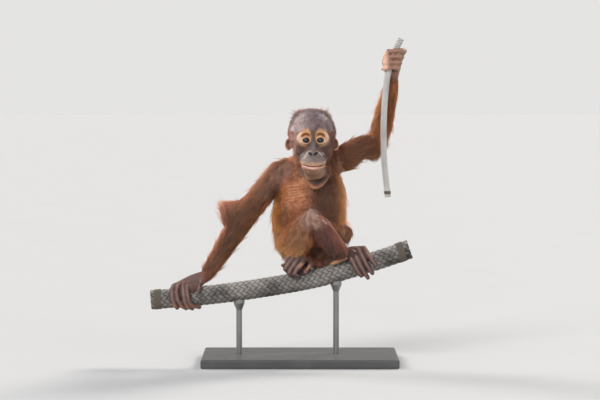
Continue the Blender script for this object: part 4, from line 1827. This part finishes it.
def coat_tint(places, normals, field):
    """The colour of the hair at places on the body: rust over maroon, golden at the flanks and fringes."""
    x, y, z = places.T
    facing = -normals[:, 1]
    mottle = drift(places, 0.030, 21)
    streaks = drift(places * (1.0, 1.0, 0.35), 0.009, 22)
    colours = np.tile(tone(188, 104, 60), (len(places), 1))
    lay(colours, fade(mottle, 0.0, 1.0) * 0.45, 214, 128, 74)
    lay(colours, fade(-mottle, 0.1, 0.9) * 0.4, 136, 72, 52)
    lay(colours, fade(-facing, 0.0, 0.7) * 0.5, 160, 80, 44)

    def within(*names):
        return np.isin(field, [FIELD_NAMES.index(name) for name in names])

    trunk = within("trunk")
    right_flank = trunk * fade(x, 0.056, 0.078) * fade(-y, -0.05, -0.02)
    lay(colours, right_flank * 0.95, 250, 184, 132)
    left_flank = trunk * fade(-x, 0.016, 0.034) * fade(-y, -0.03, 0.0)
    lay(colours, left_flank * 0.85, 224, 136, 58)
    lay(colours, left_flank * fade(-z, -0.310, -0.280) * 0.7, 238, 168, 116)
    lay(colours, left_flank * fade(-x, 0.040, 0.056) * 0.7, 254, 196, 128)
    chest = trunk * fade(facing, 0.2, 0.7) * fade(z, 0.28, 0.30)
    lay(colours, chest * chest_middle(places) * 0.9, 80, 50, 42)
    upper_chest = chest * fade(z, 0.355, 0.372) * fade(-x, -0.020, 0.000)
    lay(colours, upper_chest * 0.7, 204, 146, 108)
    beside_neck = trunk * fade(z, 0.372, 0.392) * fade(-x, -0.016, 0.006)
    lay(colours, beside_neck * 0.7, 188, 132, 104)
    olive, _ = seen_line(places, ((-0.0320, 0.0, 0.3250), (-0.0300, 0.0, 0.3000)))
    lay(colours, trunk * fade(-olive, -0.014, -0.004) * 0.6, 112, 96, 74)
    arm = within("upper_arm_right", "forearm_right")
    lay(colours, arm * fade(facing, 0.25, 0.75) * 0.85, 110, 74, 66)
    forearm = within("forearm_right")
    lay(colours, forearm * fade(facing, 0.25, 0.75) * 0.6, 80, 54, 50)
    lay(colours, arm * fade(facing, 0.55, 0.95) * fade(streaks, 0.0, 0.7) * 0.5, 98, 92, 80)
    lay(colours, arm * fade(-normals[:, 0], 0.25, 0.8) * 0.8, 228, 156, 128)
    lay(colours, arm * fade(normals[:, 0], 0.45, 0.9) * 0.7, 206, 140, 84)
    lay(colours, forearm * fade(normals[:, 0], 0.2, 0.7) * 0.7, 92, 58, 42)
    lay(colours, forearm * fade(-z, -0.215, -0.185) * 0.6, 150, 102, 86)
    shoulder = arm * fade(z, 0.335, 0.385) * fade(facing, 0.0, 0.5)
    lay(colours, shoulder * 0.75, 170, 130, 112)
    raised = within("forearm_left")
    lay(colours, raised * fade(facing, 0.2, 0.8) * 0.6, 150, 96, 70)
    lay(colours, raised * fade(-normals[:, 0], 0.3, 0.8) * 0.8, 244, 184, 138)
    upper = within("upper_arm_left")
    lay(colours, upper * 0.8, 90, 58, 44)
    lay(colours, upper * fade(normals[:, 2], 0.5, 0.95) * 0.6, 176, 120, 100)
    lay(colours, upper * fade(-normals[:, 2], 0.3, 0.8) * 0.6, 168, 114, 68)
    thigh = within("thigh_right")
    lay(colours, thigh * 0.85, 216, 158, 120)
    lay(colours, thigh * fade(streaks, 0.0, 0.7) * 0.5, 138, 108, 84)
    lay(colours, thigh * fade(-z, -0.262, -0.232) * 0.8, 252, 190, 124)
    on_knee = within("thigh_right", "shin_right") * fade(z, 0.290, 0.306)
    lay(colours, on_knee * 0.7, 174, 142, 130)
    shin = within("shin_right", "thigh_left", "shin_left")
    shin = shin * (1.0 - within("shin_right") * fade(z, 0.290, 0.306))
    lay(colours, shin * 0.85, 104, 74, 76)
    lay(colours, shin * fade(streaks, 0.2, 0.8) * 0.4, 150, 112, 108)
    outer = within("shin_right") * fade(normals[:, 0], 0.35, 0.85)
    lay(colours, outer * 0.7, 176, 112, 98)
    behind = within("thigh_left", "shin_left") * fade(x, 0.076, 0.090)
    lay(colours, behind * 0.6, 190, 136, 112)
    armpit = fade(-from_armpit(places), -0.0100, -0.0030)
    lay(colours, armpit * fade(-y, -0.01, 0.01) * 0.85, 58, 34, 30)
    lay(colours, under_thigh(places) * fade(z, 0.190, 0.200) * 0.85, 76, 52, 54)
    head = within("head")
    local = to_head(places)
    lay(colours, head * 0.5, 150, 92, 74)
    pale = head * fade(-local[:, 0], 0.026, 0.038) * fade(-local[:, 1], -0.010, 0.010)
    lay(colours, pale * 0.75, 176, 128, 114)
    dark = head * fade(local[:, 0], 0.026, 0.038) * fade(-local[:, 1], -0.010, 0.010)
    lay(colours, dark * 0.75, 104, 70, 66)
    crown = head * fade(local[:, 2], 0.012, 0.030) * fade(-local[:, 1], -0.045, -0.010)
    lay(colours, crown * 0.8, 148, 116, 116)
    beneath = head * fade(-local[:, 2], 0.030, 0.048)
    lay(colours, beneath * fade(-local[:, 0], 0.018, 0.032) * 0.9, 238, 168, 128)
    lay(colours, beneath * fade(local[:, 0], 0.018, 0.032) * 0.6, 108, 62, 36)
    face = head * fade(-local[:, 1], 0.030, 0.050) * fade(-local[:, 2], 0.040, 0.060)
    lay(colours, face, 190, 112, 66)
    hands = bare_hands(places)
    lay(colours, hands * 0.7, 128, 84, 72)
    return colours * (1.0 + 0.16 * streaks[:, None])


def bake_cell(places, field, share):
    """Where each place lies on the unwrap: a cell for each field, turned round it and run along it."""
    spots = np.zeros((len(places), 2))
    for index, name in enumerate(FIELD_NAMES):
        chosen = field == index
        column, row = FIELDS[name][10]
        if FIELDS[name][0] is None:
            local = to_head(places[chosen])
            turn = np.arctan2(local[:, 0], -local[:, 1]) / math.tau + 0.5
            along = np.clip((local[:, 2] + 0.095) / 0.160, 0.0, 1.0)
        else:
            centres = np.array([station[0] for station in FIELDS[name][0]], float)
            way = centres[-1] - centres[0]
            way /= np.linalg.norm(way)
            side = np.cross(way, (0.0, 1.0, 0.0))
            side /= np.linalg.norm(side)
            over = np.cross(side, way)
            out = places[chosen] - centres.mean(axis=0)
            turn = np.arctan2(out @ side, out @ over) / math.tau + 0.5
            along = share[chosen]
        spots[chosen, 0] = (column + 0.02 + 0.96 * turn) / 4.0
        spots[chosen, 1] = (row + 0.02 + 0.96 * along) / 3.0
    return np.clip(spots, 0.002, 0.998)


def follow_skin(root, normal, lie, length, lift, droop, cling, free, steps):
    """The line of one tuft: it hugs the skin from its root and then leaves it. Points with normals."""
    outward = lie.dot(normal)
    heading = (lie - normal * outward * (1.0 - free * (outward > 0.0))).normalized()
    points = [root - normal * ROOT_DEPTH]
    facings = [normal]
    point = root
    for step in range(1, steps + 1):
        heading = (heading + GRAVITY * droop).normalized()
        point = point + heading * (length / steps)
        near, near_normal, _, _ = skin_surface.find_nearest(point)
        height = (point - near).dot(near_normal)
        wanted = HAIR_CLEARANCE + lift * step / steps
        hugging = near + near_normal * wanted
        point = hugging if height < wanted else point.lerp(hugging, cling)
        heading = (point - points[-1]).normalized()
        points.append(point)
        facings.append(facings[-1].lerp(near_normal, 0.6).normalized())
    return points, facings


def grow(name, plan, tints, spots, draw, finish, steps):
    """One piece of coat: every tuft's strands as closed three-sided spikes, in one mesh from arrays."""
    tufts = len(plan["root"])
    lines = np.empty((tufts, steps + 1, 3))
    ups = np.empty((tufts, steps + 1, 3))
    for index in range(tufts):
        root, normal, lie = (Vector(plan[key][index]) for key in ("root", "normal", "lie"))
        numbers = [float(plan[key][index]) for key in ("length", "lift", "droop", "cling", "free")]
        lines[index], ups[index] = follow_skin(root, normal, lie, *numbers, steps)
    count = tufts * STRANDS
    lines = np.repeat(lines, STRANDS, axis=0)
    ups = np.repeat(ups, STRANDS, axis=0)
    along = scaled_to(lines[:, 1] - lines[:, 0])
    across = scaled_to(np.cross(along, ups[:, 0]))
    spread = np.repeat(plan["spread"], STRANDS)
    bend = np.repeat(plan["length"], STRANDS) * STRAND_WAVE

    def strewn(middle, size, scale):
        return (draw.normal(middle, size, count) * scale)[:, None]

    offset = across * strewn(0.0, 0.8, spread) + along * strewn(0.0, 1.2, spread)
    reach = draw.uniform(0.60, 1.08, count)
    fan = across * strewn(0.0, 0.8, spread) + ups[:, -1] * strewn(0.0, 0.30, spread)
    shape = np.empty((count, steps + 1, 3))
    for station in range(steps + 1):
        mark = station / steps
        base = lines[:, 0] + (lines[:, station] - lines[:, 0]) * reach[:, None]
        shape[:, station] = base + offset * (1.0 - 0.70 * mark) + fan * mark ** 2
        if 0 < station < steps:
            shape[:, station] += across * strewn(0.0, 1.0, bend)
            shape[:, station] += ups[:, station] * strewn(0.2, 0.5, bend)
    girths = np.repeat(plan["width"], STRANDS) * draw.uniform(0.75, 1.25, count)
    corners = ((1.0, -0.22), (0.0, 0.42), (-1.0, -0.22))
    rings = []
    for station in range(steps):
        forward = scaled_to(shape[:, station + 1] - shape[:, max(station - 1, 0)])
        sideways = scaled_to(np.cross(forward, ups[:, station]))
        upward = np.cross(sideways, forward)
        half = (girths * STRAND_GIRTHS[station] / 2)[:, None]
        for wide, high in corners:
            rings.append(shape[:, station] + sideways * half * wide + upward * half * high * 2)
    rings.append(shape[:, steps])
    size = len(rings)
    vertices = np.stack(rings, axis=1).reshape(-1, 3)
    faces = [(2, 1, 0)]
    for ring in range(0, 3 * steps - 3, 3):
        for corner in range(3):
            following = (corner + 1) % 3
            faces.append((ring + corner, ring + following, ring + following + 3))
            faces.append((ring + corner, ring + following + 3, ring + corner + 3))
    faces.extend((size - 4 + corner, size - 4 + (corner + 1) % 3, size - 1) for corner in range(3))
    triangles = (np.array(faces)[None] + (np.arange(count) * size)[:, None, None]).reshape(-1, 3)
    mesh = bpy.data.meshes.new(name)
    mesh.vertices.add(len(vertices))
    mesh.vertices.foreach_set("co", vertices.astype(np.float32).ravel())
    mesh.loops.add(len(triangles) * 3)
    mesh.loops.foreach_set("vertex_index", triangles.astype(np.int32).ravel())
    mesh.polygons.add(len(triangles))
    mesh.polygons.foreach_set("loop_start", np.arange(0, len(triangles) * 3, 3, dtype=np.int32))
    mesh.update(calc_edges=True)
    marks = np.append(np.repeat(np.arange(steps) / steps, 3), 1.0)
    shade = draw.normal(1.0, 0.12, count) * np.repeat(draw.normal(1.0, 0.14, tufts), STRANDS)
    warmth = draw.normal(0.0, 0.05, count)[:, None] * (0.6, -0.1, -0.5)
    paled = np.interp(marks, (0.0, 0.4, 1.0), (0.62, 0.95, 1.16))
    colours = np.repeat(tints, STRANDS, axis=0) * (shade[:, None] + warmth)
    colours = colours[:, None, :] * paled[:, None]
    gold = np.repeat(plan["gold"], STRANDS) * draw.uniform(0.4, 1.3, count)
    gilded = np.clip(gold[:, None] * marks ** 1.6, 0.0, 0.9)
    colours = colours + (np.array(GOLD) - colours) * gilded[:, :, None]
    set_tint(mesh, np.clip(colours, 0.0, 1.0).reshape(-1, 3))
    strand = np.tile(np.arange(STRANDS), tufts) / STRANDS
    aside = np.append(np.tile((0.0, 0.5, 1.0), steps), 0.5) / STRANDS
    patch = np.repeat(spots, STRANDS, axis=0)
    u = patch[:, 0, None] + (strand[:, None] + aside[None] - 0.5) * TUFT_PATCH
    v = patch[:, 1, None] + (marks - 0.5)[None] * TUFT_PATCH
    spread_map = np.stack((u, v), axis=2).reshape(-1, 2)
    layer = mesh.uv_layers.new(name="OFBake")
    layer.data.foreach_set("uv", spread_map[triangles.ravel()].astype(np.float32).ravel())
    mesh.materials.append(finish)
    mesh.shade_smooth()
    made = placed(name, mesh)
    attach(made, "root")


coat_finish, tree, shader = finish_named(
    "coat", Roughness=0.50, Specular_IOR_Level=0.35, Sheen_Weight=0.12, Sheen_Roughness=0.4,
    Subsurface_Weight=0.08, Subsurface_Radius=(0.003, 0.0015, 0.0008), Subsurface_Scale=0.5,
)
places_node = object_places(tree)
grain = noise(tree, places_node, 300.0, 3.0)
tinted(tree, shader, ramp(tree, grain, 0.3, 0.7, 0.84, 1.16))
bump(tree, shader, noise(tree, places_node, 2200.0, 2.0), 0.00006, 0.4)

draw = np.random.default_rng(COAT_SEED)
mesh = skin.data
mesh.calc_loop_triangles()
triangles = np.empty(len(mesh.loop_triangles) * 3, np.int32)
mesh.loop_triangles.foreach_get("vertices", triangles)
triangles = triangles.reshape(-1, 3)
places = places_of(mesh)
normals = places_of(mesh, "normal")
corner_places = places[triangles]
areas = np.linalg.norm(
    np.cross(corner_places[:, 1] - corner_places[:, 0], corner_places[:, 2] - corner_places[:, 0]), axis=1
) / 2
face_density = coat_plan(corner_places.mean(axis=1), scaled_to(normals[triangles].sum(axis=1)))["density"]
wanted = areas * face_density * 10000.0
counts = np.floor(wanted + draw.random(len(wanted))).astype(int)
owners = np.repeat(np.arange(len(triangles)), counts)
mix = draw.dirichlet((1.0, 1.0, 1.0), len(owners))
roots = (corner_places[owners] * mix[:, :, None]).sum(axis=1)
root_normals = scaled_to((normals[triangles[owners]] * mix[:, :, None]).sum(axis=1))
plan = coat_plan(roots, root_normals)
plan["root"], plan["normal"] = roots, root_normals
plan["length"] = plan["length"] * draw.uniform(*LENGTH_SPAN, len(roots))
scatter = draw.normal(0.0, LIE_SCATTER, len(roots))[:, None]
plan["lie"] = plan["lie"] + np.cross(root_normals, plan["lie"]) * scatter
is_fine = draw.random(len(roots)) < plan["fine"]
fine_length = draw.uniform(*FINE_LENGTHS, len(roots))
for key, fine_value in (("length", fine_length), ("width", FINE_WIDTH), ("lift", FINE_LIFT), ("gold", 0.0)):
    plan[key] = np.where(is_fine, fine_value, plan[key])
flyaway = (draw.random(len(roots)) < FLYAWAYS) & ~is_fine
plan["lift"] = plan["lift"] * np.where(flyaway, FLYAWAY_LIFT, 1.0)
plan["cling"] = plan["cling"] * np.where(flyaway, FLYAWAY_CLING, 1.0)
tints = coat_tint(roots, root_normals, plan["field"])
grey = drift(roots, 0.0050, 31)[:, None]
fine_tint = np.tile(tone(116, 97, 105), (len(roots), 1))
lay(fine_tint, fade(-to_head(roots)[:, 0], -0.012, 0.026), 190, 170, 170)
fine_tint = fine_tint * (1.0 + 0.22 * grey) + np.array(tone(200, 186, 182)) * np.maximum(grey, 0.0) * 0.25
tints = np.where(is_fine[:, None], fine_tint, tints)
spots = bake_cell(roots, plan["field"], plan["share"])
field_names = np.array(FIELD_NAMES)[plan["field"]]
on_trunk = field_names == "trunk"
on_head = field_names == "head"
face_side = to_head(roots)[:, 1] < -0.002
on_crown = to_head(roots)[:, 2] > 0.004
belly_side = root_normals[:, 1] < -0.25
high = roots[:, 2] > 0.312
leg_left = np.isin(field_names, ("thigh_left", "shin_left"))
COAT_PIECES = (
    ("coat_front", on_trunk & belly_side, 2),
    ("coat_back_upper", on_trunk & ~belly_side & high, 3),
    ("coat_back_lower", on_trunk & ~belly_side & ~high, 3),
    ("coat_arm_right", field_names == "upper_arm_right", 3),
    ("coat_forearm_right", field_names == "forearm_right", 3),
    ("coat_arm_left", field_names == "upper_arm_left", 3),
    ("coat_forearm_left", field_names == "forearm_left", 3),
    ("coat_thigh_right", field_names == "thigh_right", 3),
    ("coat_shin_right", field_names == "shin_right", 3),
    ("coat_leg_left", leg_left, 3),
    ("coat_face", on_head & face_side, 2),
    ("coat_crown", on_head & ~face_side & on_crown, 3),
    ("coat_nape", on_head & ~face_side & ~on_crown, 3),
)
for piece_name, chosen, steps in COAT_PIECES:
    chosen_plan = {key: values[chosen] for key, values in plan.items()}
    grow(piece_name, chosen_plan, tints[chosen], spots[chosen], draw, coat_finish, steps)
